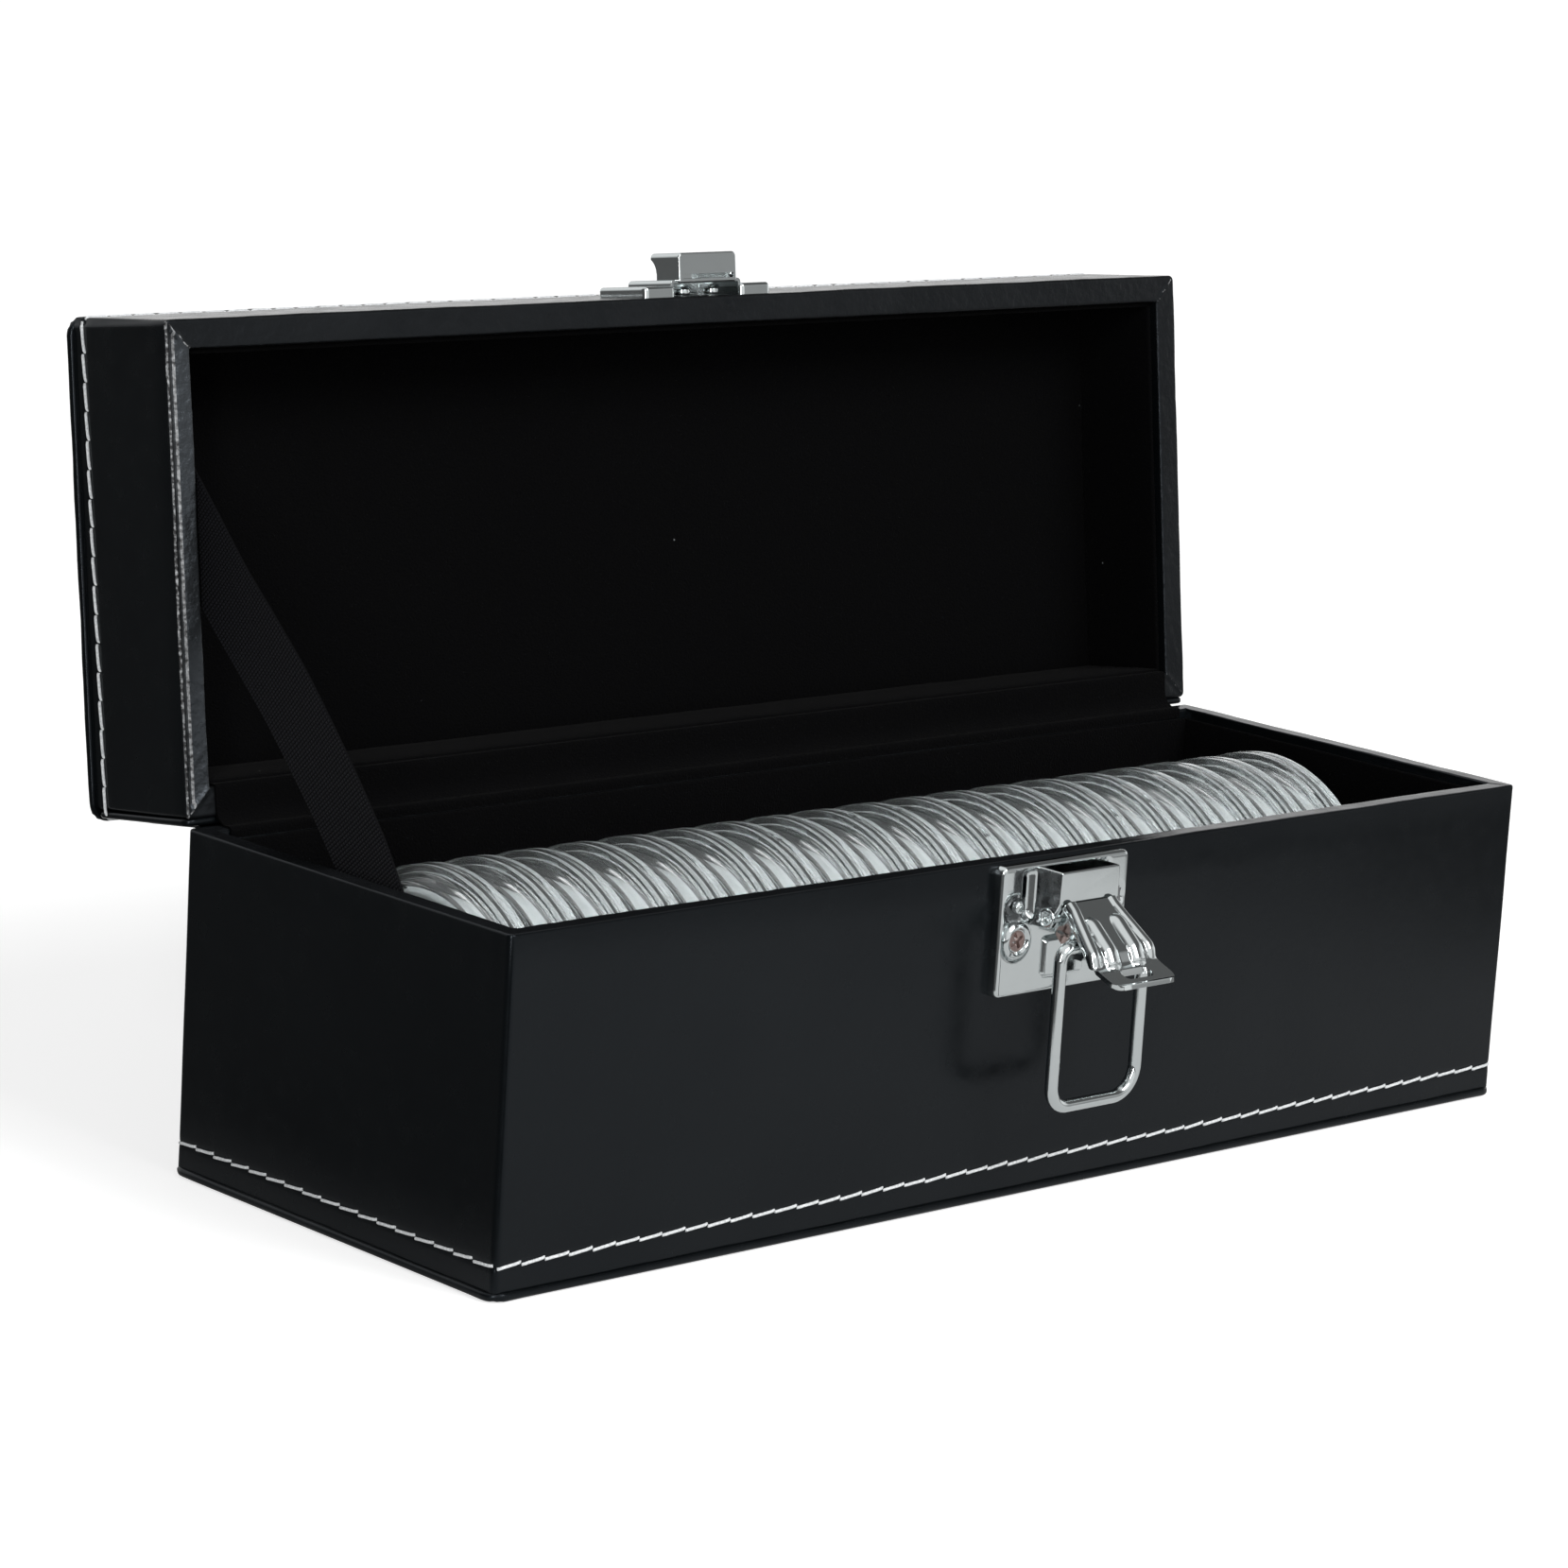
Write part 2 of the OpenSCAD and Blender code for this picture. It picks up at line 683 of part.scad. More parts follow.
module latch_screws() {
    recess_w = 0.8;
    recess_l = 3.2;
    recess_depth = 0.7;
    shank = plate_proud + leather_t + base_board_t;
    crown_r = (screw_head_d * screw_head_d / 4 + screw_head_h * screw_head_h) / (2 * screw_head_h);
    color(chrome) for (side = [-1, 1])
        translate([side * screw_x, front_y - plate_proud, screw_z]) rotate([90, 0, 0]) {
            translate([0, 0, -shank]) cylinder(d = screw_shank_d, h = shank + fit);
            difference() {
                intersection() {
                    translate([0, 0, screw_head_h - crown_r]) sphere(r = crown_r, $fn = 2 * $fn);
                    cylinder(d = screw_head_d, h = screw_head_h);
                }
                for (turn = [0, 90]) rotate(turn)
                    translate([-recess_l / 2, -recess_w / 2, screw_head_h - recess_depth])
                        cube([recess_l, recess_w, recess_depth + skim]);
            }
        }
}

// Side view of the lever's skin, as distance off the leather and height.
module lever_skin() {
    polygon(strip([
        pivot + lever_heel, pivot + lever_knee, pivot + lever_foot, pivot + lever_tip
    ], lever_t));
}

// Side view of an ear, which joins the pin's eye, the bail's eye and the skin.
module lever_ear() {
    heel = pivot + lever_heel;
    knee = pivot + lever_knee;
    root = knee + ear_end * (heel - knee);
    polygon([
        pivot + [0, eye_r], heel, root,
        bail_pivot + [eye_r, 0], bail_pivot + [0, -eye_r], pivot + [0, -eye_r]
    ]);
    translate(pivot) circle(eye_r);
    translate(bail_pivot) circle(eye_r);
}

// Front view of the lever's skin: narrow inside the bridge, wide at the lip, corners rounded.
module lever_front() {
    lip_r = 1.6;
    waist = 0.4;
    heel_z = pivot[1] + lever_heel[1] + lever_t;
    knee_z = pivot[1] + lever_knee[1];
    tip_z = pivot[1] + lever_tip[1] - lever_t;
    polygon([
        [-ear_outer_x, heel_z], [ear_outer_x, heel_z], [lever_w / 2 - waist, knee_z],
        [lever_w / 2, tip_z + lip_r], [lever_w / 2 - lip_r, tip_z],
        [lip_r - lever_w / 2, tip_z], [-lever_w / 2, tip_z + lip_r], [waist - lever_w / 2, knee_z]
    ]);
}

// A bead pressed up out of the skin between two points of its side view.
module lever_bead(a, b) {
    hull() for (p = [a, b]) translate([0, front_y - p[0], p[1]]) sphere(r = bead_r, $fn = blend_fn);
}

module latch_lever() {
    heel = pivot + lever_heel;
    knee = pivot + lever_knee;
    foot = pivot + lever_foot;
    tip = pivot + lever_tip;
    slot_l = 6;
    slot_w = 1.7;
    bead_start = heel + bead_run * (knee - heel);
    bead_end = knee + (1 - bead_foot) * (foot - knee);
    color(chrome) difference() {
        union() {
            intersection() {
                off_front(lever_w) lever_skin();
                on_front(pivot[0] + lever_tip[0] + lever_t) lever_front();
            }
            for (side = [-1, 1]) {
                translate([side * (ear_outer_x - ear_t / 2), 0, 0]) off_front(ear_t) lever_ear();
                translate([side * bead_x, 0, 0]) {
                    lever_bead(bead_start, knee);
                    lever_bead(knee, bead_end);
                }
            }
        }
        off_front(bridge_w) translate(pivot) circle(pin_d / 2 + fit);
        off_front(bridge_w) translate(bail_pivot) circle(wire_d / 2 + fit);
        translate([0, front_y - (foot[0] + tip[0]) / 2, (foot[1] + tip[1]) / 2]) {
            cube([slot_l - slot_w, slot_w, 4 * lever_t], center = true);
            for (side = [-1, 1]) translate([side * (slot_l - slot_w) / 2, 0, 0])
                cylinder(d = slot_w, h = 4 * lever_t, center = true);
        }
    }
}

module wire_bend(r) {
    rotate_extrude(angle = 90) translate([r, 0]) circle(d = wire_d);
}

// Bent wire loop that hangs from the lever; its two ends turn in to the eyes.
module latch_bail() {
    leg_x = bail_w / 2;
    end_stub = 0.3;
    end_x = ear_outer_x - ear_t - end_stub;
    color(chrome) translate([0, front_y - bail_pivot[0], bail_pivot[1]])
    for (side = [0, 1]) mirror([side, 0, 0]) {
        translate([end_x, 0, 0]) rotate([0, 90, 0]) cylinder(d = wire_d, h = leg_x - bail_top_r - end_x);
        translate([leg_x - bail_top_r, 0, -bail_top_r]) rotate([90, 0, 0]) wire_bend(bail_top_r);
        translate([leg_x, 0, bail_r - bail_len]) cylinder(d = wire_d, h = bail_len - bail_r - bail_top_r);
        translate([leg_x - bail_r, 0, bail_r - bail_len]) rotate([90, 90, 0]) wire_bend(bail_r);
        translate([0, 0, -bail_len]) rotate([0, 90, 0]) cylinder(d = wire_d, h = leg_x - bail_r);
    }
}

// Side view of the hook block: it flares towards the bail's bar and rounds at its front.
module hook_side() {
    root = arch_out - catch_sheet;
    flare_h = 1.3;
    flare_x = arch_out + 1;
    nose_r = 0.6;
    hollow_r = 2.6;
    difference() {
        union() {
            translate([root, 0]) square([hook_out - root - nose_r, hook_h]);
            translate([root, nose_r]) square([hook_out - root, hook_h - 2 * nose_r]);
            for (v = [nose_r, hook_h - nose_r]) translate([hook_out - nose_r, v]) circle(nose_r);
        }
        translate([-skim, hook_h - flare_h]) square([flare_x + skim, hook_h]);
        translate([flare_x, hook_h - flare_h + hollow_r]) circle(hollow_r);
    }
}

module catch_plate() {
    slot_h = 0.7;
    wall = 0.8;
    wing_x = (catch_w - wing_w) / 2;
    mid_z = catch_z + catch_h / 2;
    side_h = catch_h - 2 * catch_sheet;
    color(chrome) on_lid() difference() {
        union() {
            for (side = [-1, 1]) translate([side * wing_x, 0, 0])
                pan(wing_w, catch_h, mid_z, plate_proud, catch_sheet, plate_r);
            difference() {
                on_front(arch_out) translate([0, mid_z])
                    square([arch_w + 2 * catch_sheet, side_h], center = true);
                translate([0, -catch_tab_t, 0]) on_front(arch_out - catch_sheet - catch_tab_t)
                    translate([0, mid_z]) square([arch_w, catch_h], center = true);
            }
            off_front(hook_w) translate([0, catch_z]) hook_side();
        }
        off_front(hook_w - 2 * wall) translate([arch_out, catch_z + wall])
            square([hook_out - arch_out - wall, hook_h]);
        off_front(hook_w - 2 * wall)
            translate([arch_out, catch_z - skim]) square([slot_h, wall + 2 * skim]);
        rivet_holes(catch_tab_t + skim, 0);
    }
}

module catch_rivets() {
    head_t = 0.8;
    shank = leather_t + lid_board_t;
    color(chrome) on_lid() for (side = [-1, 1])
        translate([side * rivet_x, front_y, catch_z + rivet_rise]) rotate([90, 0, 0]) {
            translate([0, 0, -shank]) cylinder(r = rivet_r, h = shank + catch_tab_t + fit);
            translate([0, 0, catch_tab_t]) cylinder(r = rivet_head_r, h = head_t);
        }
}

base_bottom_cover();
base_bottom_board();
base_front_board();
base_back_board();
base_left_board();
base_right_board();
base_leather_wrap();
base_wall_lining();
base_floor_lining();
lid_top_cover();
lid_back_cover();
lid_top_board();
lid_front_board();
lid_back_board();
lid_left_board();
lid_right_board();
lid_leather_wrap();
lid_wall_lining();
lid_top_lining();
hinge_leather();
hinge_cloth();
lid_stay_ribbon();
latch_plate();
latch_bridge();
latch_pin();
latch_screws();
latch_lever();
latch_bail();
catch_plate();
catch_rivets();
foam_inserts();
for (i = [1:capsule_count]) capsule(i);
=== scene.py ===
# %% [markdown]
# # A leather coin case with a toggle latch
# The case is a board box wrapped in black leather. Its lid hangs on a leather strip and a ribbon
# stops it. A row of clear capsules stands in the tray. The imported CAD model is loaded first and
# gives every place, so that each new piece only has to be shaped, and never has to be fitted.

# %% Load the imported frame
import bpy
import bmesh
import json
import math
import random
from mathutils import Matrix, Vector, noise


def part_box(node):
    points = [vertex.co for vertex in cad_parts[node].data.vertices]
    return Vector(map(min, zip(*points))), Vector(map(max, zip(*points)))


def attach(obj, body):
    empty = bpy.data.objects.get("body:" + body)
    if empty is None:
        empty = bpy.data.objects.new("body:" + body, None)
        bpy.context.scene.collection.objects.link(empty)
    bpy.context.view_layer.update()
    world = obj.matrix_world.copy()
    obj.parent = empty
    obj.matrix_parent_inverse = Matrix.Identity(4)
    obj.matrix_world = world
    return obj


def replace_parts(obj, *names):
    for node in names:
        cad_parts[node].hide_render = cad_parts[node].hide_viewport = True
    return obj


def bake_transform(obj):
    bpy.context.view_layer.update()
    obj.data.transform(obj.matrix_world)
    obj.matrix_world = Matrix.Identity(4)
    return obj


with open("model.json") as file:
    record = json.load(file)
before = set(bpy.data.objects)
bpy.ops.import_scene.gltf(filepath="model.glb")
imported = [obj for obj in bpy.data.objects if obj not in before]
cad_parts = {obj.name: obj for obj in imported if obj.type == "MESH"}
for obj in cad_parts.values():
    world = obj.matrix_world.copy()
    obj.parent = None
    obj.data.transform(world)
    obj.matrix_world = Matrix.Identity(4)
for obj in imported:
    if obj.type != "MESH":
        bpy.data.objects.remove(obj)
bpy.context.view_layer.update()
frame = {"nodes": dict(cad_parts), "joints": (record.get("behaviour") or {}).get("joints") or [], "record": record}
MM = 0.001
print("nodes in the frame:", len(frame["nodes"]))

# %% [markdown]
# ## The camera
# A photograph's camera can be found again from the box's own corners: they are known in
# millimetres and seen in pixels. Here the found place, direction and roll are written down, and a
# long lens keeps the upright edges nearly parallel, as on a picture of goods for sale.

# %% Set the camera
EYE = Vector((-574.2, -584.3, 227.7)) * MM
LOOK = Vector((0.6714, 0.7124, -0.2041)).normalized()
UP = Vector((0.0958, 0.1896, 0.9772))
FRAME_PIXELS = 1659
FOCAL_PIXELS = 5497
SENSOR_MM = 36

camera_data = bpy.data.cameras.new("camera")
camera_data.sensor_width = SENSOR_MM
camera_data.lens = FOCAL_PIXELS / FRAME_PIXELS * SENSOR_MM
camera_data.clip_start = 0.01
camera = bpy.data.objects.new("camera", camera_data)
bpy.context.scene.collection.objects.link(camera)
side = LOOK.cross(UP).normalized()
turn = Matrix((side, side.cross(LOOK), -LOOK)).transposed()
camera.matrix_world = Matrix.Translation(EYE) @ turn.to_4x4()
bpy.context.scene.camera = camera
print("lens in mm:", round(camera_data.lens, 1))

# %% [markdown]
# ## Floor, backdrop and light
# A picture of goods has a white ground. Turning lamps up until the floor clips would also bleach
# the object, so the floor and the world are made white only for rays that come from the camera,
# from a reflection or through clear plastic. The lamps stay at a plain level, and the floor is
# still partly a lit surface, so the shadow under the case shows.
#
# Chrome and coated leather are drawn by what they mirror. A real studio is white where its paper
# and lamps are and dark elsewhere, so parts of the room and of the floor are dimmed, but only for
# rays that come from a reflection.

# %% Helpers for the studio
bpy.context.scene.view_settings.view_transform = "Standard"

def compute(tree, operation, *values):
    """A math node on numbers or sockets, and its result."""
    node = tree.nodes.new("ShaderNodeMath")
    node.operation = operation
    for socket, value in zip(node.inputs, values):
        if isinstance(value, (int, float)):
            socket.default_value = value
        else:
            tree.links.new(value, socket)
    return node.outputs[0]

def rises(tree, value, start, end):
    """A smooth share from 0 at start to 1 at end."""
    node = tree.nodes.new("ShaderNodeMapRange")
    node.interpolation_type = "SMOOTHSTEP"
    node.inputs["From Min"].default_value, node.inputs["From Max"].default_value = start, end
    tree.links.new(value, node.inputs["Value"])
    return node.outputs["Result"]

def axes_of(tree, kind, output):
    """The X, Y and Z of a node's output."""
    source, split = tree.nodes.new(kind), tree.nodes.new("ShaderNodeSeparateXYZ")
    tree.links.new(source.outputs[output], split.inputs["Vector"])
    return split.outputs

def seen_by(tree, *rays):
    """1 for the named kinds of ray, which are outputs of a Light Path node, and 0 for others."""
    path = tree.nodes.new("ShaderNodeLightPath")
    total = path.outputs[rays[0]]
    for name in rays[1:]:
        total = compute(tree, "MAXIMUM", total, path.outputs[name])
    return total

# %% [markdown]
# ### The room that the chrome mirrors
# The world is white for the camera and for reflections, and an even, weaker light for everything
# matt. A sphere with a picture of a studio would do the same, but here each dark part is only a
# product of smooth shares along the axes of the direction: a patch high on the right for the
# lever's panel, the left, where the left end of the case looks, and the room beyond the paper at
# the front right. Each is written as how dark it is and where it starts and ends on its axes.

# %% Make the room
AMBIENT = 0.3
DARK_PARTS = ((0.86, (("X", 0.15, 0.45), ("Z", 0.26, 0.5))), (0.9, (("X", -0.4, -0.8),)),
              (0.62, (("X", 0.4, 0.6), ("Y", -0.45, -0.65), ("Z", 0.45, 0.2))))

world = bpy.data.worlds.new("studio")
world.use_nodes = True
bpy.context.scene.world = world
sky, tree = world.node_tree.nodes["Background"], world.node_tree
direction = axes_of(tree, "ShaderNodeTexCoord", "Generated")
room = 1.0
for darkness, sides in DARK_PARTS:
    share = darkness
    for axis, start, end in sides:
        share = compute(tree, "MULTIPLY", share, rises(tree, direction[axis], start, end))
    room = compute(tree, "MULTIPLY", room, compute(tree, "SUBTRACT", 1, share))
seen = seen_by(tree, "Is Camera Ray", "Is Glossy Ray", "Is Transmission Ray")
white = compute(tree, "MULTIPLY_ADD", seen, 1 - AMBIENT, AMBIENT)
dimmed = compute(tree, "MULTIPLY", seen_by(tree, "Is Glossy Ray"), compute(tree, "SUBTRACT", 1, room))
strength = compute(tree, "MULTIPLY", white, compute(tree, "SUBTRACT", 1, dimmed))
tree.links.new(strength, sky.inputs["Strength"])
sky.inputs["Color"].default_value = (1, 1, 1, 1)
print("dark parts of the room:", len(DARK_PARTS))

# %% [markdown]
# ### The paper under the case
# A sheet of white paper in a picture of goods is brighter than any matt surface near it. It could
# be lit until it clips, which would bleach the case. So this paper is a matt surface, which takes
# the shadow, plus a glow. In reflections it glows less in front of the case than behind it, and
# it is darker at the left, at the front right and far in front, as if a table ended there. That
# was matched to the shades of the leather and the chrome.

# %% Make the floor's paper
FLOOR_GLOW, FRONT_GLOW, PAPER = 0.66, 0.14, 0.62
LEFT_DARK, MORE_BEHIND, RIGHT_DARK, FAR_DARK = 0.83, 0.06, 0.65, 0.35
LEFT, RIGHT, BEHIND = (-0.105, -0.14), (0.16, 0.25), (0.05, 0.15)
TABLE, BEYOND_TABLE = (-0.5, -0.3), (-0.3, -0.6)

paper = bpy.data.materials.new("white_paper")
paper.use_nodes = True
tree = paper.node_tree
tree.nodes.clear()
place = axes_of(tree, "ShaderNodeNewGeometry", "Position")
mirrored = seen_by(tree, "Is Glossy Ray")
behind = rises(tree, place["Y"], *BEHIND)
left = compute(tree, "MULTIPLY", rises(tree, place["X"], *LEFT),
               compute(tree, "MULTIPLY_ADD", behind, MORE_BEHIND, LEFT_DARK))
in_front = compute(tree, "MULTIPLY", rises(tree, place["Y"], *TABLE),
                   compute(tree, "MULTIPLY_ADD", behind, -RIGHT_DARK, RIGHT_DARK))
right = compute(tree, "MULTIPLY", rises(tree, place["X"], *RIGHT), in_front)
far_front = compute(tree, "MULTIPLY", rises(tree, place["Y"], *BEYOND_TABLE), FAR_DARK)
off_paper = compute(tree, "MAXIMUM", compute(tree, "MAXIMUM", left, right), far_front)
kept = compute(tree, "SUBTRACT", 1, compute(tree, "MULTIPLY", mirrored, off_paper))
reflected = compute(tree, "MULTIPLY_ADD", behind, FLOOR_GLOW - FRONT_GLOW, FRONT_GLOW)
straight = compute(tree, "MULTIPLY", seen_by(tree, "Is Camera Ray", "Is Transmission Ray"), FLOOR_GLOW)
glowing = compute(tree, "MAXIMUM", straight, compute(tree, "MULTIPLY", mirrored, reflected))
grey = tree.nodes.new("ShaderNodeCombineColor")
for channel in ("Red", "Green", "Blue"):
    tree.links.new(compute(tree, "MULTIPLY", kept, PAPER), grey.inputs[channel])
diffuse, glow = tree.nodes.new("ShaderNodeBsdfDiffuse"), tree.nodes.new("ShaderNodeEmission")
both, output = tree.nodes.new("ShaderNodeAddShader"), tree.nodes.new("ShaderNodeOutputMaterial")
tree.links.new(grey.outputs["Color"], diffuse.inputs["Color"])
tree.links.new(compute(tree, "MULTIPLY", kept, glowing), glow.inputs["Strength"])
tree.links.new(diffuse.outputs[0], both.inputs[0])
tree.links.new(glow.outputs[0], both.inputs[1])
tree.links.new(both.outputs[0], output.inputs["Surface"])
print("paper has", len(tree.nodes), "nodes")

# %% [markdown]
# ### The floor
# One large plane carries the paper.

# %% Lay the floor
FLOOR_SIZE, FLOOR_GAP = 16, 0.0002

bpy.ops.object.select_all(action="DESELECT")
bpy.ops.mesh.primitive_plane_add(size=FLOOR_SIZE, location=(0, 0, -FLOOR_GAP))
floor = bpy.context.object
floor.name = "floor"
floor.data.materials.append(paper)
print("floor is", round(floor.dimensions.x), "m wide")

# %% [markdown]
# ### Three lamps
# A broad sun from the front right gives even light and a soft shadow. A softbox in front of the
# case is what the chrome's upper faces show, and a narrow upright lamp at the left draws the rims
# of the lid. The sun is hidden from reflections, where it would be a hard spot.

# %% Set the lamps
def add_lamp(name, kind, place, power, size, height=None):
    """A lamp at a place in metres, aimed at the middle of the case."""
    lamp = bpy.data.lights.new(name, kind)
    lamp.energy = power
    if kind == "SUN":
        lamp.angle = size
    else:
        lamp.shape = "RECTANGLE"
        lamp.size, lamp.size_y = size, height or size
    obj = bpy.data.objects.new(name, lamp)
    bpy.context.scene.collection.objects.link(obj)
    aim = Vector((0, 0, 0.05)) - Vector(place)
    obj.matrix_world = Matrix.Translation(place) @ aim.to_track_quat("-Z", "Y").to_matrix().to_4x4()
    obj.visible_glossy = kind != "SUN"

add_lamp("key", "SUN", (0.5, -1.0, 1.0), 1.55, math.radians(30))
add_lamp("softbox", "AREA", (0.1, -1.2, 1.1), 9, 0.7)
add_lamp("edge_light", "AREA", (-1.25, -1.05, 0.55), 12, 0.2, 1.15)
print("lamps:", len(bpy.data.lights))

# %% [markdown]
# ## Working by hand, from code
# These helpers do what a modeller's hand does: add a primitive at its size and place, enter edit
# mode, select by place or direction, and put a modifier on and apply it. Everything is deselected
# first, because an operator acts on all that is selected.

# %% Helpers for modelling
DOUBLE = 0.004

def deselect():
    """Back to object mode with nothing selected."""
    if bpy.context.object and bpy.context.object.mode != "OBJECT":
        bpy.ops.object.mode_set(mode="OBJECT")
    bpy.ops.object.select_all(action="DESELECT")

def take(obj):
    """Makes one object the selected and active one."""
    deselect()
    obj.select_set(True)
    bpy.context.view_layer.objects.active = obj
    return obj

def settle(name):
    """Names the new primitive and moves its place into its mesh."""
    obj = bpy.context.object
    obj.name = obj.data.name = name
    bpy.ops.object.transform_apply(location=True, rotation=True, scale=True)
    return obj

def add_block(name, low, high):
    """A block between two corners, in mm."""
    deselect()
    low, high = [Vector([pick(pair) for pair in zip(low, high)]) * MM for pick in (min, max)]
    bpy.ops.mesh.primitive_cube_add(size=1, location=(low + high) / 2, scale=high - low)
    return settle(name)

def add_rod(name, start, end, radius, sides=32):
    """A cylinder from one point to another, in mm."""
    deselect()
    start, end = Vector(start) * MM, Vector(end) * MM
    bpy.ops.mesh.primitive_cylinder_add(vertices=sides, radius=radius * MM, depth=(end - start).length,
                                        location=(start + end) / 2)
    bpy.context.object.rotation_euler = (end - start).to_track_quat("Z", "Y").to_euler()
    return settle(name)

# %% [markdown]
# ### Selecting and changing faces
# A modeller clicks on an edge; a script has to describe it. The tests below pick vertices, edges
# or faces by where they lie or which way they run, so that the same line works at any size.
# Widths are given in millimetres.

# %% Helpers for edit mode
def edit(obj):
    """Enters edit mode on one object."""
    take(obj)
    bpy.ops.object.mode_set(mode="EDIT")
    return obj

def middle(item):
    """Middle of a vertex, edge or face, in mm."""
    points = [item.co] if isinstance(item, bmesh.types.BMVert) else [v.co for v in item.verts]
    return sum(points, Vector()) / len(points) / MM

def choose(obj, kind, test):
    """Selects the vertices, edges or faces that pass a test, in edit mode."""
    bpy.ops.mesh.select_mode(type=kind)
    bpy.ops.mesh.select_all(action="DESELECT")
    mesh = bmesh.from_edit_mesh(obj.data)
    for item in {"VERT": mesh.verts, "EDGE": mesh.edges, "FACE": mesh.faces}[kind]:
        if test(item):
            item.select_set(True)
    bmesh.update_edit_mesh(obj.data)

def sharp(angle=60):
    """A test for edges whose two faces meet at more than this angle."""
    return lambda edge: edge.is_manifold and edge.calc_face_angle() > math.radians(angle)

def runs_along(axis):
    """A test for edges that run along one axis."""
    def test(edge):
        run = edge.verts[0].co - edge.verts[1].co
        return abs(run[axis]) > 0.99 * run.length
    return test

off_front, upright = runs_along(1), runs_along(2)

def bevel(width, segments):
    """Rounds the selected edges by a width in mm."""
    bpy.ops.mesh.bevel(offset=width * MM, segments=segments)

def round_edges(obj, test, width, segments):
    """Bevels the edges that pass a test."""
    choose(obj, "EDGE", test)
    bevel(width, segments)

def inset(width, **settings):
    """Draws a smaller face inside each selected one, some mm in from its edge."""
    bpy.ops.mesh.inset(thickness=width * MM, **settings)

def extrude(*way):
    """Pulls the selected faces out by some mm, with new walls round them."""
    bpy.ops.mesh.extrude_region_move(TRANSFORM_OT_translate={"value": Vector(way) * MM})

def shift(*way):
    """Moves what is selected, in mm."""
    bpy.ops.transform.translate(value=Vector(way) * MM)

def slice_up(obj, axis, places):
    """Cuts the mesh at planes across an axis, at places in mm."""
    edit(obj)
    for place in places:
        bpy.ops.mesh.select_all(action="SELECT")
        point, normal = [0, 0, 0], [0, 0, 0]
        point[axis], normal[axis] = place * MM, 1
        bpy.ops.mesh.bisect(plane_co=point, plane_no=normal)
    deselect()

def steps(start, end, count):
    """Evenly spaced places between two ends."""
    return [start + (end - start) * (i + 1) / (count + 1) for i in range(count)]

# %% [markdown]
# ### Modifiers, copies and joins
# Modifiers are applied at once, so that each piece is a plain mesh. A cutter is removed as soon
# as it has been used.

# %% Helpers to cut, copy and join
def apply_modifier(obj, kind, **settings):
    """Puts a modifier on, sets it and applies it."""
    take(obj)
    modifier = obj.modifiers.new(kind.lower(), kind)
    for name, value in settings.items():
        setattr(modifier, name, value)
    bpy.ops.object.modifier_apply(modifier=modifier.name)
    return obj

def cut_out(obj, cutter, operation="DIFFERENCE"):
    """Cuts one shape out of another, or joins it on, and removes the cutter."""
    apply_modifier(obj, "BOOLEAN", object=cutter, operation=operation, solver="EXACT")
    bpy.data.objects.remove(cutter)
    return obj

def duplicate(obj, name, offset=(0, 0, 0)):
    """A copy with its own mesh, moved by an offset in mm."""
    copy = obj.copy()
    copy.data = obj.data.copy()
    copy.name = copy.data.name = name
    copy.data.transform(Matrix.Translation(Vector(offset) * MM))
    bpy.context.scene.collection.objects.link(copy)
    return copy

def join(objects, name):
    """Joins several objects into the first."""
    deselect()
    for obj in objects:
        obj.select_set(True)
    bpy.context.view_layer.objects.active = objects[0]
    bpy.ops.object.join()
    objects[0].name = objects[0].data.name = name
    return objects[0]

def clean(obj):
    """Merges doubles and turns the faces outwards."""
    edit(obj)
    bpy.ops.mesh.select_all(action="SELECT")
    bpy.ops.mesh.remove_doubles(threshold=DOUBLE * MM)
    bpy.ops.mesh.normals_make_consistent(inside=False)
    deselect()
    return obj

# %% [markdown]
# ### The last step of every piece
# A finished piece gets smooth shading with sharp edges kept, its finish, the body that it moves
# with and the nodes of the frame that it stands for. Chrome also gets weighted normals, which
# keep large faces flat in the mirror. A second finish can be given to some faces.

# %% Helpers to complete a piece
def second_finish(obj, material, test):
    """Gives the faces that pass a test, by their middle in mm, a second finish."""
    obj.data.materials.append(material)
    for face in obj.data.polygons:
        if test(face.center / MM):
            face.material_index = len(obj.data.materials) - 1
    return obj

def complete(obj, material, slot, body, nodes=(), angle=35):
    """Shades a finished piece, gives it its finish and its body, and hides what it stands for."""
    take(obj)
    bpy.ops.object.shade_smooth_by_angle(angle=math.radians(angle))
    if slot == "chrome":
        apply_modifier(obj, "WEIGHTED_NORMAL", keep_sharp=True, weight=100)
    obj.data.materials.clear()
    obj.data.materials.append(material)
    if body:
        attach(obj, body)
    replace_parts(obj, *nodes)
    print(obj.name, "has", len(obj.data.polygons), "faces")
    return obj

print("helpers are ready")

# %% [markdown]
# ## Finishes
# Each finish starts from one Principled shader. Its colour, gloss and relief come from noise in
# Object coordinates, which are metres here: a scale of 1000 gives grains of about a millimetre.
# A number that is the same all over is set on the shader's own socket, so that it survives an
# export.

# %% Helpers for finishes
def new_finish(name, color, roughness, **sockets):
    """A material with the shader's own sockets set by name."""
    material = bpy.data.materials.new(name)
    material.use_nodes = True
    shader = material.node_tree.nodes["Principled BSDF"]
    shader.inputs["Base Color"].default_value = (*color, 1)
    shader.inputs["Roughness"].default_value = roughness
    for socket, value in sockets.items():
        shader.inputs[socket.replace("_", " ")].default_value = value
    return material

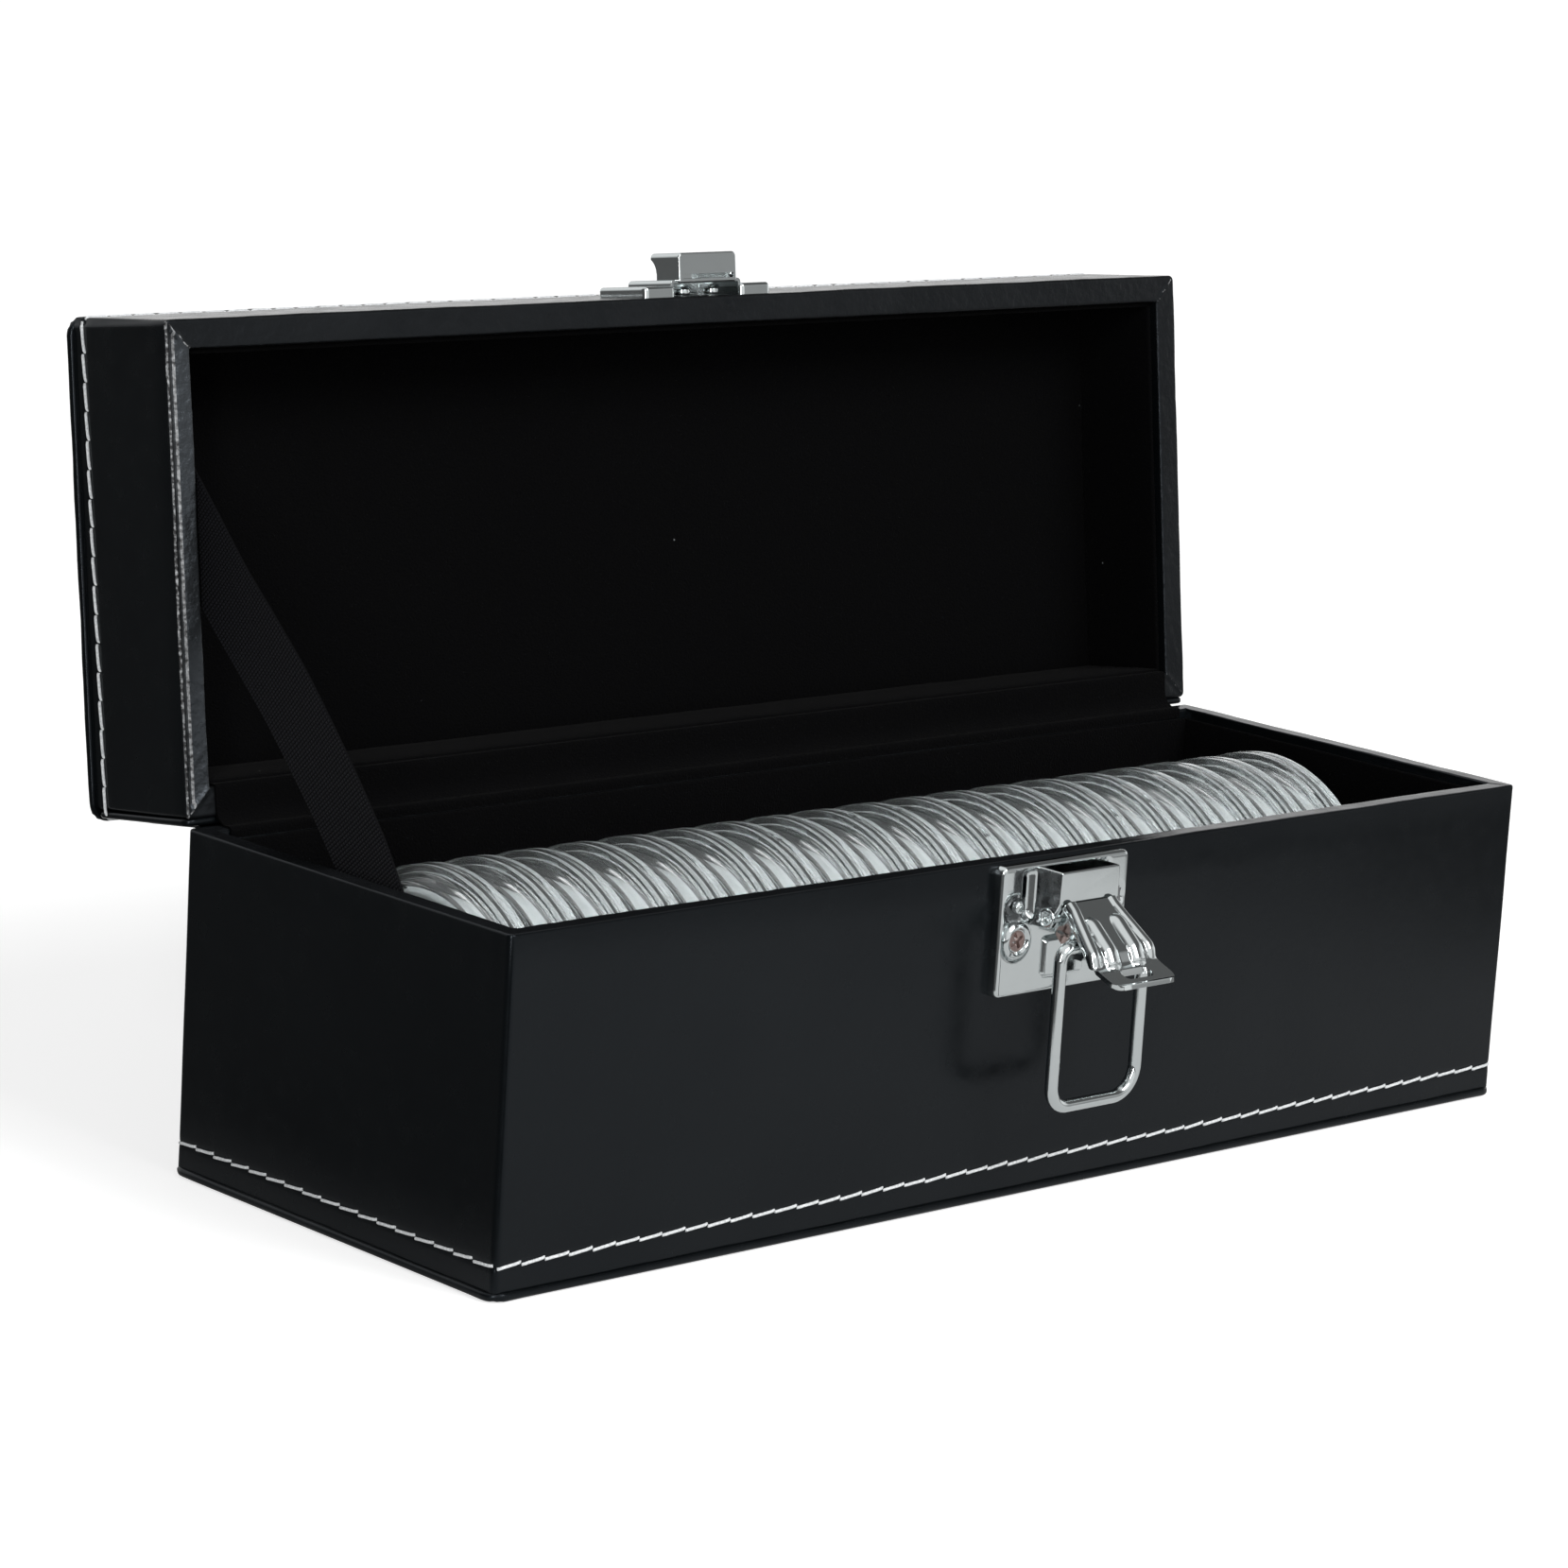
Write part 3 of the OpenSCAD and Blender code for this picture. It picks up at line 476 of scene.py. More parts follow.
def add_node(material, kind, links=(), **settings):
    """Adds a node, sets its properties or sockets, and links what feeds it."""
    node = material.node_tree.nodes.new("ShaderNode" + kind)
    for name, value in settings.items():
        if name in node.bl_rna.properties:
            setattr(node, name, value)
        else:
            node.inputs[name.replace("_", " ")].default_value = value
    for socket, source in dict(links).items():
        material.node_tree.links.new(source, node.inputs[socket])
    return node

def object_place(material):
    """Object coordinates, in metres."""
    return add_node(material, "TexCoord").outputs["Object"]

def speckle(material, scale, low, high, detail=4, place=None, roughness=0.5):
    """Noise of a given scale, stretched to run from low to high."""
    cloud = add_node(material, "TexNoise", {"Vector": place or object_place(material)},
                     Scale=scale, Detail=detail, Roughness=roughness)
    spread = add_node(material, "MapRange", {"Value": cloud.outputs["Fac"]})
    for name, value in zip(("From Min", "From Max", "To Min", "To Max"), (0.3, 0.7, low, high)):
        spread.inputs[name].default_value = value
    return spread.outputs["Result"]

def tint(material, factor, dark, light):
    """Colour that goes from dark to light with a factor, into the shader."""
    mix = add_node(material, "Mix", data_type="RGBA")
    mix.inputs[6].default_value = (*dark, 1)
    mix.inputs[7].default_value = (*light, 1)
    material.node_tree.links.new(factor, mix.inputs[0])
    feed(material, "Base Color", mix.outputs[2])

def feed(material, socket, source):
    """Links a value to a socket of the shader."""
    shader = material.node_tree.nodes["Principled BSDF"]
    material.node_tree.links.new(source, shader.inputs[socket])

def relief(material, height, depth, strength, under=None):
    """A bump of a depth in mm, laid over another bump if one is given."""
    links = {"Height": height}
    if under:
        links["Normal"] = under
    bump = add_node(material, "Bump", links, Strength=strength, Distance=depth * MM)
    feed(material, "Normal", bump.outputs["Normal"])
    return bump.outputs["Normal"]

# %% [markdown]
# ### Leather
# The skin is smooth coated leather: charcoal where light falls on it, nearly black elsewhere, with
# a faint grain that only shows in a highlight. Its gloss is low when seen straight on and rises at
# a glancing angle, which is what makes the rims look light, and it is tinted a little blue, as on
# the real skin. The rims also get copies of it with a lighter colour, some of them rougher and one
# shinier, and that lighter colour is painted light, for the highlights along the rims. On two
# folds, pale dots on black are painted highlights where light catches the fold.

# %% Make the leather finishes
BLUISH = (0.79, 0.89, 1, 1)

def make_leather(name, dark, light, roughness, wrinkle, shine=0.21):
    """Coated black leather; wrinkle is how deep its fine creases are."""
    skin = new_finish(name, light, roughness, Specular_IOR_Level=shine, Specular_Tint=BLUISH)
    tint(skin, speckle(skin, 28, 0, 1), dark, light)
    feed(skin, "Roughness", speckle(skin, 260, roughness - 0.04, roughness + 0.05))
    soft = relief(skin, speckle(skin, 45, 0, 1, detail=2), 0.25, 0.07)
    pores = add_node(skin, "TexVoronoi", {"Vector": object_place(skin)}, Scale=1500)
    grain = relief(skin, pores.outputs["Distance"], 0.03, 0.12, soft)
    relief(skin, speckle(skin, 620, 0, 1, detail=6), 0.10, wrinkle, grain)
    return skin

def make_painted_highlight_fold(name, gaps):
    """A sharp fold painted with pale dots on black, which are painted highlights, with more or fewer gaps."""
    fold = new_finish(name, (0.1, 0.1, 0.1), 0.4)
    tint(fold, speckle(fold, 1500, gaps, 1, detail=6), (0.006, 0.006, 0.007), (0.36, 0.37, 0.38))
    relief(fold, speckle(fold, 1500, 0, 1, detail=6), 0.08, 0.8)
    return fold

leather = make_leather("leather", (0.0014, 0.0019, 0.0023), (0.0026, 0.0033, 0.0038), 0.24, 0.06)
# Lighter copies of the leather for the rims: their lighter colour is painted light.
rim_leather_painted_light = make_leather("rim_leather_painted_light", (0.004, 0.0045, 0.005), (0.011, 0.012, 0.0135), 0.2, 0.15)
fold_leather_painted_light = make_leather("fold_leather_painted_light", (0.002, 0.0023, 0.0026), (0.006, 0.0065, 0.007), 0.3, 0.7)
creased_leather_painted_light = make_leather("creased_leather_painted_light", (0.004, 0.0045, 0.005), (0.016, 0.0175, 0.019), 0.3,
                               1.3, shine=0.6)
# Pale dots on black: painted highlights for the folds of the lid's rim.
fold_painted_highlight, groove_painted_highlight = make_painted_highlight_fold("fold_painted_highlight", -0.6), make_painted_highlight_fold("groove_painted_highlight", -0.1)
print("skins:", [m.name for m in (leather, rim_leather_painted_light, fold_leather_painted_light, creased_leather_painted_light)])
print("folds:", fold_painted_highlight.name, groove_painted_highlight.name)

# %% [markdown]
# ### Velvet, board and foam
# Velvet drinks light, so it is the darkest thing here. Real pile could be made of hairs, which
# would be heavy and would not be seen in black; fine noise and a few specks of lint are enough to
# keep it from looking like a hole. Board shows only where leather ends, and foam is white with
# tiny bubbles.

# %% Make velvet, board and foam
LINT_SIZE, LINT_FROM = 0.022, 0.6

def make_velvet():
    """Short black pile with a little lint."""
    pile = new_finish("velvet", (0.0022, 0.0022, 0.0024), 0.9, Specular_IOR_Level=0.02,
                      Sheen_Weight=0.01, Sheen_Roughness=0.4)
    lint = add_node(pile, "TexVoronoi", {"Vector": object_place(pile)}, Scale=120)
    near = add_node(pile, "Math", {0: lint.outputs["Distance"]}, operation="LESS_THAN")
    near.inputs[1].default_value = LINT_SIZE
    some = add_node(pile, "Math", {0: speckle(pile, 30, 0, 1)}, operation="GREATER_THAN")
    some.inputs[1].default_value = LINT_FROM
    both = add_node(pile, "Math", {0: near.outputs[0], 1: some.outputs[0]}, operation="MULTIPLY")
    tint(pile, both.outputs[0], (0.0021, 0.0021, 0.0023), (0.13, 0.14, 0.145))
    relief(pile, speckle(pile, 2600, 0, 1, detail=8), 0.2, 0.7)
    return pile

def make_board():
    """Grey pulp board with short fibres."""
    pulp = new_finish("board", (0.36, 0.33, 0.29), 0.9)
    tint(pulp, speckle(pulp, 900, 0, 1, detail=8), (0.30, 0.27, 0.23), (0.44, 0.41, 0.37))
    relief(pulp, speckle(pulp, 1400, 0, 1, detail=6), 0.08, 0.5)
    return pulp

def make_foam():
    """White closed-cell foam."""
    cells = new_finish("foam", (0.86, 0.88, 0.88), 0.85)
    tint(cells, speckle(cells, 300, 0, 1), (0.80, 0.83, 0.83), (0.90, 0.92, 0.92))
    bubbles = add_node(cells, "TexVoronoi", {"Vector": object_place(cells)}, Scale=2200)
    relief(cells, bubbles.outputs["Distance"], 0.15, 0.5)
    return cells

velvet, board, foam = make_velvet(), make_board(), make_foam()
print("soft finishes:", velvet.name, board.name, foam.name)

# %% [markdown]
# ## Chrome and clear plastic
# Chrome has no colour of its own: it shows the white room, the black leather and itself, so it
# needs clean shapes with rounded edges more than it needs a texture. A little waviness and fine
# polishing marks keep its flat faces from being perfect mirrors. The bridge's cheeks and the cups
# round the knobs should look darker than this room makes them, so they get a darker chrome, whose
# colour is painted shade and painted dark reflection. The capsules are clear plastic, which is
# drawn with nearly full transmission and a thin wall.

# %% Make chrome, bare metal and clear plastic
def make_chrome(name, color, roughness):
    """Plated metal with faint waves and polishing marks."""
    plate = new_finish(name, color, roughness, Metallic=1.0)
    feed(plate, "Roughness", speckle(plate, 700, roughness * 0.7, roughness * 1.6, detail=8))
    tint(plate, speckle(plate, 120, 0, 1), [c * 0.94 for c in color], color)
    waves = relief(plate, speckle(plate, 130, 0, 1, detail=2), 0.05, 0.12)
    relief(plate, speckle(plate, 3000, 0, 1, detail=4), 0.01, 0.10, waves)
    return plate

def make_clear():
    """Clear moulded plastic with hairline scratches."""
    glass = new_finish("clear_plastic", (0.93, 0.96, 0.965), 0.04, Transmission_Weight=0.965, IOR=1.48)
    feed(glass, "Roughness", speckle(glass, 900, 0.015, 0.045, detail=8))
    long = add_node(glass, "Mapping", {"Vector": object_place(glass)})
    long.inputs["Scale"].default_value = (1, 0.2, 0.2)
    relief(glass, speckle(glass, 1500, 0, 1, detail=5, place=long.outputs["Vector"]), 0.01, 0.03)
    return glass

chrome = make_chrome("chrome", (0.60, 0.638, 0.642), 0.07)
# Painted shade: a dark chrome for the bridge's cheeks and the cups round the knobs.
chrome_painted_shade = make_chrome("chrome_painted_shade", (0.20, 0.205, 0.21), 0.24)
bare_metal = make_chrome("bare_metal", (0.36, 0.27, 0.25), 0.35)
clear_plastic = make_clear()
print("hard finishes:", [m.name for m in (chrome, chrome_painted_shade, bare_metal, clear_plastic)])

# %% [markdown]
# ## What the frame already gives
# Boards and other stiff parts whose shape is right stay as they are in the frame and only get a
# better finish.

# %% Put finishes on the frame's own parts
FINISH_OF_SLOT = {"board": board, "leather": leather, "velvet": velvet, "chrome": chrome,
                  "foam": foam, "clear_plastic": clear_plastic, "ribbon": velvet}
for part in frame["record"]["subparts"]:
    obj = frame["nodes"][part["node"]]
    obj.data.materials.clear()
    obj.data.materials.append(FINISH_OF_SLOT[part["material_slot"]])

# %% [markdown]
# ## Sizes
# The case's own measures, in millimetres, read from the frame's boxes where they can be. The lid
# is modelled shut, where its faces are square to the axes, and is then turned open about the
# hinge line by the joint's own angle.

# %% Read the sizes
def box_mm(node):
    """Lowest and highest corner of a frame node, in mm."""
    low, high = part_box(node)
    return low / MM, high / MM

BASE_LOW, BASE_HIGH = box_mm("base_leather_wrap")
COVER_LOW, COVER_HIGH = box_mm("base_bottom_cover")
WIDTH, DEPTH = BASE_HIGH.x - BASE_LOW.x, BASE_HIGH.y - BASE_LOW.y
FRONT_Y = BASE_LOW.y
BASE_RIM = BASE_HIGH.z
COVER_T = COVER_HIGH.z

hinge_joint = next(j for j in frame["joints"] if j["name"] == "lid_hinge")
HINGE = Vector(hinge_joint["pos_m"]) / MM
OPEN_ANGLE = math.radians(hinge_joint["range_deg"][1])
OPENING = (Matrix.Translation(HINGE * MM) @ Matrix.Rotation(-OPEN_ANGLE, 4, "X")
           @ Matrix.Translation(-HINGE * MM))
LID_RIM = 2 * HINGE.z - BASE_RIM
LID_TOP = 79.8
LID_BACK_T = 1.2
LID_DEPTH = DEPTH - LID_BACK_T
LID_Y = -LID_BACK_T / 2
BASE_WALL, LID_WALL = 3.4, 4.6
SKIN_T = 0.6
ROLL = 0.4
CORNER_R = 1.0

def open_lid(obj):
    """Turns a piece that was modelled on the shut lid to where the lid stands open."""
    obj.data.transform(OPENING)
    return obj

def opened(y, z):
    """Where a point of the shut lid stands when the lid is open, as (y, z)."""
    point = OPENING @ (Vector((0, y, z)) * MM)
    return point.y / MM, point.z / MM

print("case:", round(WIDTH, 1), "x", round(DEPTH, 1), "mm, hinge at", tuple(round(v, 2) for v in HINGE))

# %% [markdown]
# ## The leather round the walls
# On the real case one strip of leather runs round the board walls, is pulled over the rim and
# turned in. Leather over board is never quite flat, so each point of the skin is moved a little by
# smooth noise, and more near the rim. A row of stitches presses the skin in, and at each corner of
# a rim the folded leather stands up in a low ridge. Sculpting could do this too, but it could not
# be repeated at another size.

# %% Helpers for uneven leather
def soft_step(value, start, end):
    """0 before start, 1 after end, and smooth between them."""
    share = min(1, max(0, (value - start) / (end - start)))
    return share * share * (3 - 2 * share)

def unsettle(obj, depth, size, where=None):
    """Moves points along their normals by smooth noise of a depth and a size in mm."""
    moves = [(v, v.normal.copy(), v.co / MM) for v in obj.data.vertices]
    for vertex, normal, place in moves:
        share = 1 if where is None else where(place)
        vertex.co += normal * (depth * MM * share * noise.noise(place / size))
    return obj

def rim_crease(obj, w, d, y, rim_z, height):
    """Raises the folded seam on each corner of a rim, and sinks a thin line beside it."""
    for vertex in obj.data.vertices:
        place = vertex.co / MM
        if abs(place.z - rim_z) > 0.3:
            continue
        from_side = w / 2 - abs(place.x)
        from_end = d / 2 - abs(place.y - y)
        across = (from_side - from_end) / math.sqrt(2)
        ridge = math.exp(-(across / 0.28) ** 2) - 0.8 * math.exp(-((across - 0.75) / 0.3) ** 2)
        inside = max(0, min(1, min(from_side, from_end) - 0.7))
        vertex.co.z += height * MM * ridge * inside
    return obj

def press_seam(obj, seam_z, depth=0.13, reach=0.55):
    """Presses the leather in along a row of stitches."""
    for vertex in obj.data.vertices:
        flat = Vector((vertex.normal.x, vertex.normal.y, 0))
        if flat.length > 0.7:
            away = (vertex.co.z / MM - seam_z) / reach
            vertex.co -= flat * (depth * MM * math.exp(-away * away))
    return obj

# %% [markdown]
# ### Folding the skin
# The skin is made as a hand would fold it: a block without a bottom, its top inset in a few rings
# to the wall's thickness and pushed down for the part that is turned in. Upright corners and rims
# are bevelled, and the skin is cut into short lengths so that it can bend. The rings also carry
# the groove that lies in the left strip of the lid's rim.

# %% Helpers to fold leather over walls
TURNED_IN = 8

def fold_walls(name, w, d, y, wall, low, rim, seam_z, groove_depth=0.0):
    """Leather round four walls, with the rim up and, if asked, a groove in its left strip, in mm."""
    lip, groove = 1.0, 0.45
    obj = edit(add_block(name, (-w / 2, y - d / 2, low), (w / 2, y + d / 2, rim)))
    choose(obj, "FACE", lambda f: f.normal.z < -0.9)
    bpy.ops.mesh.delete(type="FACE")
    choose(obj, "FACE", lambda f: f.normal.z > 0.9)
    for width in (lip, groove, 0.3, 0.3, wall - lip - groove - 0.6):
        inset(width)
    extrude(0, 0, -TURNED_IN)
    bpy.ops.mesh.delete(type="FACE")
    round_edges(obj, lambda e: upright(e) and abs(middle(e).x) > w / 2 - 0.01, CORNER_R, 6)
    round_edges(obj, lambda e: sharp(70)(e) and middle(e).z > rim - 0.01, ROLL, 4)
    laps = steps(0.2, wall + 1, 12)
    for axis, center, half, count in ((0, 0, w / 2, 70), (1, y, d / 2, 34)):
        near = [half - lap for lap in laps]
        slice_up(obj, axis, steps(center - half + 5, center + half - 5, count)
                 + [center + n for n in near] + [center - n for n in near])
    slice_up(obj, 2, steps(low, rim - 1.2, 8) + steps(seam_z - 1.5, seam_z + 1.5, 7))
    for vertex in obj.data.vertices:
        x, across, z = vertex.co.x / MM, abs(vertex.co.y / MM - y), vertex.co.z / MM
        into = x + w / 2
        if z > rim - 0.1 and across < d / 2 - 0.6 - into:
            dip = math.exp(-((into - lip - groove / 2) / 0.35) ** 2)
            slope = soft_step(into, lip + groove / 2, lip + groove + 0.2) * max(0, wall - into) / wall
            vertex.co.z -= groove_depth * (dip + slope) * MM
    return press_seam(obj, seam_z)

def give_thickness(obj, thickness=SKIN_T):
    """Thickens a skin inwards, in mm."""
    return apply_modifier(obj, "SOLIDIFY", thickness=thickness * MM, offset=-1)

# %% [markdown]
# ### The base in its skin
# The base's skin starts on the bottom card and ends inside the rim. Its rim gets a lighter copy of
# the leather, by the height of the faces; the lighter colour is painted light, for the highlight
# along the rim.

# %% Fold the leather over the base's walls
BASE_SEAM = 5.2
LID_SEAM = LID_TOP - 3.7

base_skin = fold_walls("base_leather", WIDTH, DEPTH, 0, BASE_WALL, COVER_T, BASE_RIM, BASE_SEAM)
rim_crease(base_skin, WIDTH, DEPTH, 0, BASE_RIM, 0.04)
unsettle(base_skin, 0.10, 16)
unsettle(base_skin, 0.05, 3, where=lambda p: p.z > BASE_RIM - 9)
give_thickness(base_skin)
complete(base_skin, leather, "leather", "base", ["base_leather_wrap"])
# The rim's lighter leather is painted light.
second_finish(base_skin, rim_leather_painted_light, lambda p: p.z > BASE_RIM - 0.12)

# %% [markdown]
# ### The lid in its skin
# The lid is the same box with its rim downwards, so its skin is folded with the rim up, mirrored,
# and cleaned so that its faces look outwards again. The front leans out a little towards the top,
# which brings its row of stitches into view. The rim gets a lighter copy of the leather, and the
# left strip of the rim a lighter, shinier one with deeper creases; their lighter colour is painted
# light. Two narrow bands of the strip, at its outer edge and beside the groove, get pale dots on
# black, which are painted highlights.

# %% Fold the leather over the lid's walls
LID_FLIP = LID_RIM + LID_TOP - COVER_T
lid_skin = fold_walls("lid_leather", WIDTH, LID_DEPTH, LID_Y, LID_WALL, LID_RIM, LID_TOP - COVER_T,
                      LID_FLIP - LID_SEAM, groove_depth=0.5)
lid_skin.data.transform(Matrix.Translation((0, 0, LID_FLIP * MM)) @ Matrix.Scale(-1, 4, (0, 0, 1)))
clean(lid_skin)
rim_crease(lid_skin, WIDTH, LID_DEPTH, LID_Y, LID_RIM, -0.10)
unsettle(lid_skin, 0.10, 16)
unsettle(lid_skin, 0.06, 3, where=lambda p: p.z < LID_RIM + 9)
LID_FLARE = 0.7
for vertex in lid_skin.data.vertices:
    if vertex.normal.y < -0.7:
        vertex.co.y -= LID_FLARE * (vertex.co.z / MM - LID_RIM) / (LID_TOP - LID_RIM) * MM
give_thickness(lid_skin)
complete(lid_skin, leather, "leather", "lid", ["lid_leather_wrap"])
# The lid's rim gets lighter leather, which is painted light.
second_finish(lid_skin, fold_leather_painted_light, lambda p: p.z < LID_RIM + 0.45)

def on_left_strip(p, start, end):
    """Whether a face lies on the left strip of the lid's rim, some mm in from its outer edge."""
    into = p.x + WIDTH / 2
    across = LID_DEPTH / 2 - abs(p.y - LID_Y)
    return p.z < LID_RIM + 0.9 and start < into < min(end, max(across, 0.7))

CREASED_PAINTED_LIGHT, OUTER_BAND, GROOVE_BAND = (1.0, LID_WALL), (0.1, 0.5), (1.5, 1.85)
# The left strip's lighter, shinier leather is painted light.
second_finish(lid_skin, creased_leather_painted_light, lambda p: on_left_strip(p, *CREASED_PAINTED_LIGHT))
# Pale dots at the strip's outer edge and beside the groove are painted highlights.
second_finish(lid_skin, fold_painted_highlight, lambda p: on_left_strip(p, *OUTER_BAND))
second_finish(lid_skin, groove_painted_highlight, lambda p: on_left_strip(p, *GROOVE_BAND))
open_lid(lid_skin)

# %% [markdown]
# ### Lapped corners
# Where two strips of leather meet at a corner of the lid's rim, the real leather is puckered.
# That is simplified here to one lap, which leaves a thin, uneven ridge along the diagonal: a
# narrow block with a rounded top, bent by two sine waves. It is kept low, so that the lid can
# close.

# %% Fold the corners
FOLD_REACH, FOLD_HALF = (LID_WALL - 0.9) * math.sqrt(2), 0.12

def corner_fold(side_x, side_y):
    """The ridge where two strips of leather meet at one corner of the lid's rim."""
    fold = edit(add_block("fold", (0, -FOLD_HALF, -0.3), (FOLD_REACH, FOLD_HALF, 0.08)))
    round_edges(fold, lambda e: middle(e).z > 0.05 and abs(middle(e).y) > 0.1, 0.07, 3)
    slice_up(fold, 0, steps(0, FOLD_REACH, 14))
    for vertex in fold.data.vertices:
        along = vertex.co.x / MM
        vertex.co.y += 0.07 * MM * math.sin(2.1 * along + side_x)
        vertex.co.z += 0.03 * MM * math.sin(3.3 * along + side_y)
    start = Vector((side_x * (WIDTH / 2 - 0.75), LID_Y + side_y * (LID_DEPTH / 2 - 0.75), LID_RIM))
    fold.data.transform(Matrix.Translation(start * MM) @ Matrix.Diagonal((1, 1, -1, 1))
                        @ Matrix.Rotation(math.atan2(-side_y, -side_x), 4, "Z"))
    return clean(fold)

lid_folds = join([corner_fold(x, y) for x in (-1, 1) for y in (-1, 1)], "lid_corner_folds")
# The corner ridges get the pale dots, which are painted highlights along the diagonals.
complete(open_lid(lid_folds), fold_painted_highlight, "leather", "lid", angle=60)

# %% [markdown]
# ## The wrapped cards
# A thin card wrapped in leather closes the base from below, another lies on the lid and a third
# covers the lid's hinge side. Each is a flat block whose corners and edges are bevelled until they
# are round, then cut up and moved a little. The underside stays flat, since the case stands on it.

# %% Make the wrapped cards
def wrapped_card(name, low, high, thin, corner, edge):
    """A block with round corners round its thin axis (1 for Y, 2 for Z) and soft edges, in mm."""
    obj = edit(add_block(name, low, high))
    round_edges(obj, runs_along(thin), corner, 8)
    round_edges(obj, sharp(70), edge, 4)
    for axis in range(3):
        if axis != thin:
            slice_up(obj, axis, steps(low[axis] + corner, high[axis] - corner,
                                      round((high[axis] - low[axis]) / 3.5)))
    return obj

def pucker(obj, corners, reach, depth):
    """Small folds that fan out round the corners, where the leather is gathered."""
    for vertex in obj.data.vertices:
        place = vertex.co / MM
        for corner in corners:
            away = place - Vector(corner)
            share = max(0, 1 - away.length / reach)
            if share > 0:
                turn = math.atan2(away.y, away.x + away.z * 0.5)
                vertex.co += vertex.normal * (depth * MM * share * math.sin(9 * turn))
    return obj

PROUD = 0.7
half_w, half_d = WIDTH / 2 + PROUD, DEPTH / 2 + PROUD
four = [(sx * half_w, sy * half_d) for sx in (-1, 1) for sy in (-1, 1)]

bottom_card = wrapped_card("base_bottom_card", (-half_w, -half_d, 0), (half_w, half_d, COVER_T),
                           2, 3, 0.55)
unsettle(bottom_card, 0.12, 6, where=lambda p: 1 if p.z > 0.4 else 0)
pucker(bottom_card, [(x, y, COVER_T) for x, y in four], 6, 0.10)
for vertex in bottom_card.data.vertices:
    vertex.co.z = max(vertex.co.z, 0)
complete(bottom_card, leather, "leather", "base", ["base_bottom_cover"])

top_card = wrapped_card("lid_top_card", (-half_w, -half_d, LID_TOP - COVER_T),
                        (half_w, half_d, LID_TOP), 2, 3, 0.55)
unsettle(top_card, 0.14, 7)
pucker(top_card, [(x, y, LID_TOP) for x, y in four], 6, 0.10)
complete(open_lid(top_card), leather, "leather", "lid", ["lid_top_cover"])

back_card = wrapped_card("lid_back_card", (-WIDTH / 2, DEPTH / 2 - LID_BACK_T, LID_RIM),
                         (WIDTH / 2, DEPTH / 2, LID_TOP - COVER_T), 1, 1.6, 0.5)
unsettle(back_card, 0.08, 8)
complete(open_lid(back_card), leather, "leather", "lid", ["lid_back_cover"])

# %% [markdown]
# ## White stitches
# Thick off-white thread runs round the base near its foot and round the lid near its top. The
# thread is a matt finish with fine relief for its fibres, since its twist is finer than a pixel.

# %% Make the thread
thread = new_finish("thread", (0.66, 0.68, 0.69), 0.75, Sheen_Weight=0.15)
tint(thread, speckle(thread, 2600, 0, 1), (0.50, 0.52, 0.53), (0.80, 0.82, 0.83))
relief(thread, speckle(thread, 5200, 0, 1, detail=3), 0.05, 0.8)

# %% [markdown]
# ### One stitch
# Each stitch leans a little and dives into its hole at both ends. It is bent from a thin cylinder
# that has few faces, because there are hundreds of them. A curve would give the same shape, but
# the cylinder can be sliced and moved point by point.

# %% Shape one stitch
STITCH_PITCH = 4.5
STITCH_LENGTH = 4.42
THREAD_R = 0.25

stitch = add_rod("stitch", (-STITCH_LENGTH / 2, 0, 0), (STITCH_LENGTH / 2, 0, 0), THREAD_R, 8)
slice_up(stitch, 0, [-2.05, -1.7, -0.9, 0, 0.9, 1.7, 2.05])
for vertex in stitch.data.vertices:
    along = vertex.co.x / (STITCH_LENGTH / 2 * MM)
    vertex.co.y += (0.24 * abs(along) ** 9 - 0.06) * MM
    vertex.co.z += (0.13 * along + 0.11 * along ** 3) * MM

# %% [markdown]
# ### A row of stitches
# The stitch is copied along each wall in whole steps, so that the row ends at the corners. Every
# copy has a little difference in length, lean and height, from a seeded draw, because a row of
# equal stitches looks printed. The lid's front row follows the lean of its wall.

# %% Sew round the walls
def sew(name, w, d, seam_z, seed):
    """Stitches round four walls at one height, in mm."""
    chance = random.Random(seed)
    copies = []
    for side in range(4):
        length, out = (w, d / 2) if side % 2 == 0 else (d, w / 2)
        turn = Matrix.Rotation(side * math.pi / 2, 4, "Z")
        count = round((length - 1) / STITCH_PITCH)
        pitch = (length - 1) / count
        for i in range(count):
            copy = duplicate(stitch, "one_stitch")
            lean = Matrix.Rotation(math.radians(chance.uniform(-1.2, 1.2)), 4, "Y")
            stretch = Matrix.Scale(pitch / STITCH_PITCH * chance.uniform(0.97, 1.03), 4, (1, 0, 0))
            along = (i + 0.5) * pitch - (length - 1) / 2
            place = Vector((along, -out, seam_z + chance.uniform(-0.05, 0.05)))
            copy.data.transform(turn @ Matrix.Translation(place * MM) @ lean @ stretch)
            copies.append(copy)
    return join(copies, name)

base_stitches = sew("base_stitches", WIDTH, DEPTH, BASE_SEAM, 4)
complete(base_stitches, thread, "leather", "base", angle=60)
lid_stitches = sew("lid_stitches", WIDTH, LID_DEPTH + LID_BACK_T, LID_SEAM, 5)
for vertex in lid_stitches.data.vertices:
    if vertex.co.y < (2 - DEPTH / 2) * MM and abs(vertex.co.x) < (WIDTH / 2 - 0.1) * MM:
        vertex.co.y -= (LID_FLARE * (LID_SEAM - LID_RIM) / (LID_TOP - LID_RIM) - 0.12) * MM
complete(open_lid(lid_stitches), thread, "leather", "lid", angle=60)
bpy.data.objects.remove(stitch)

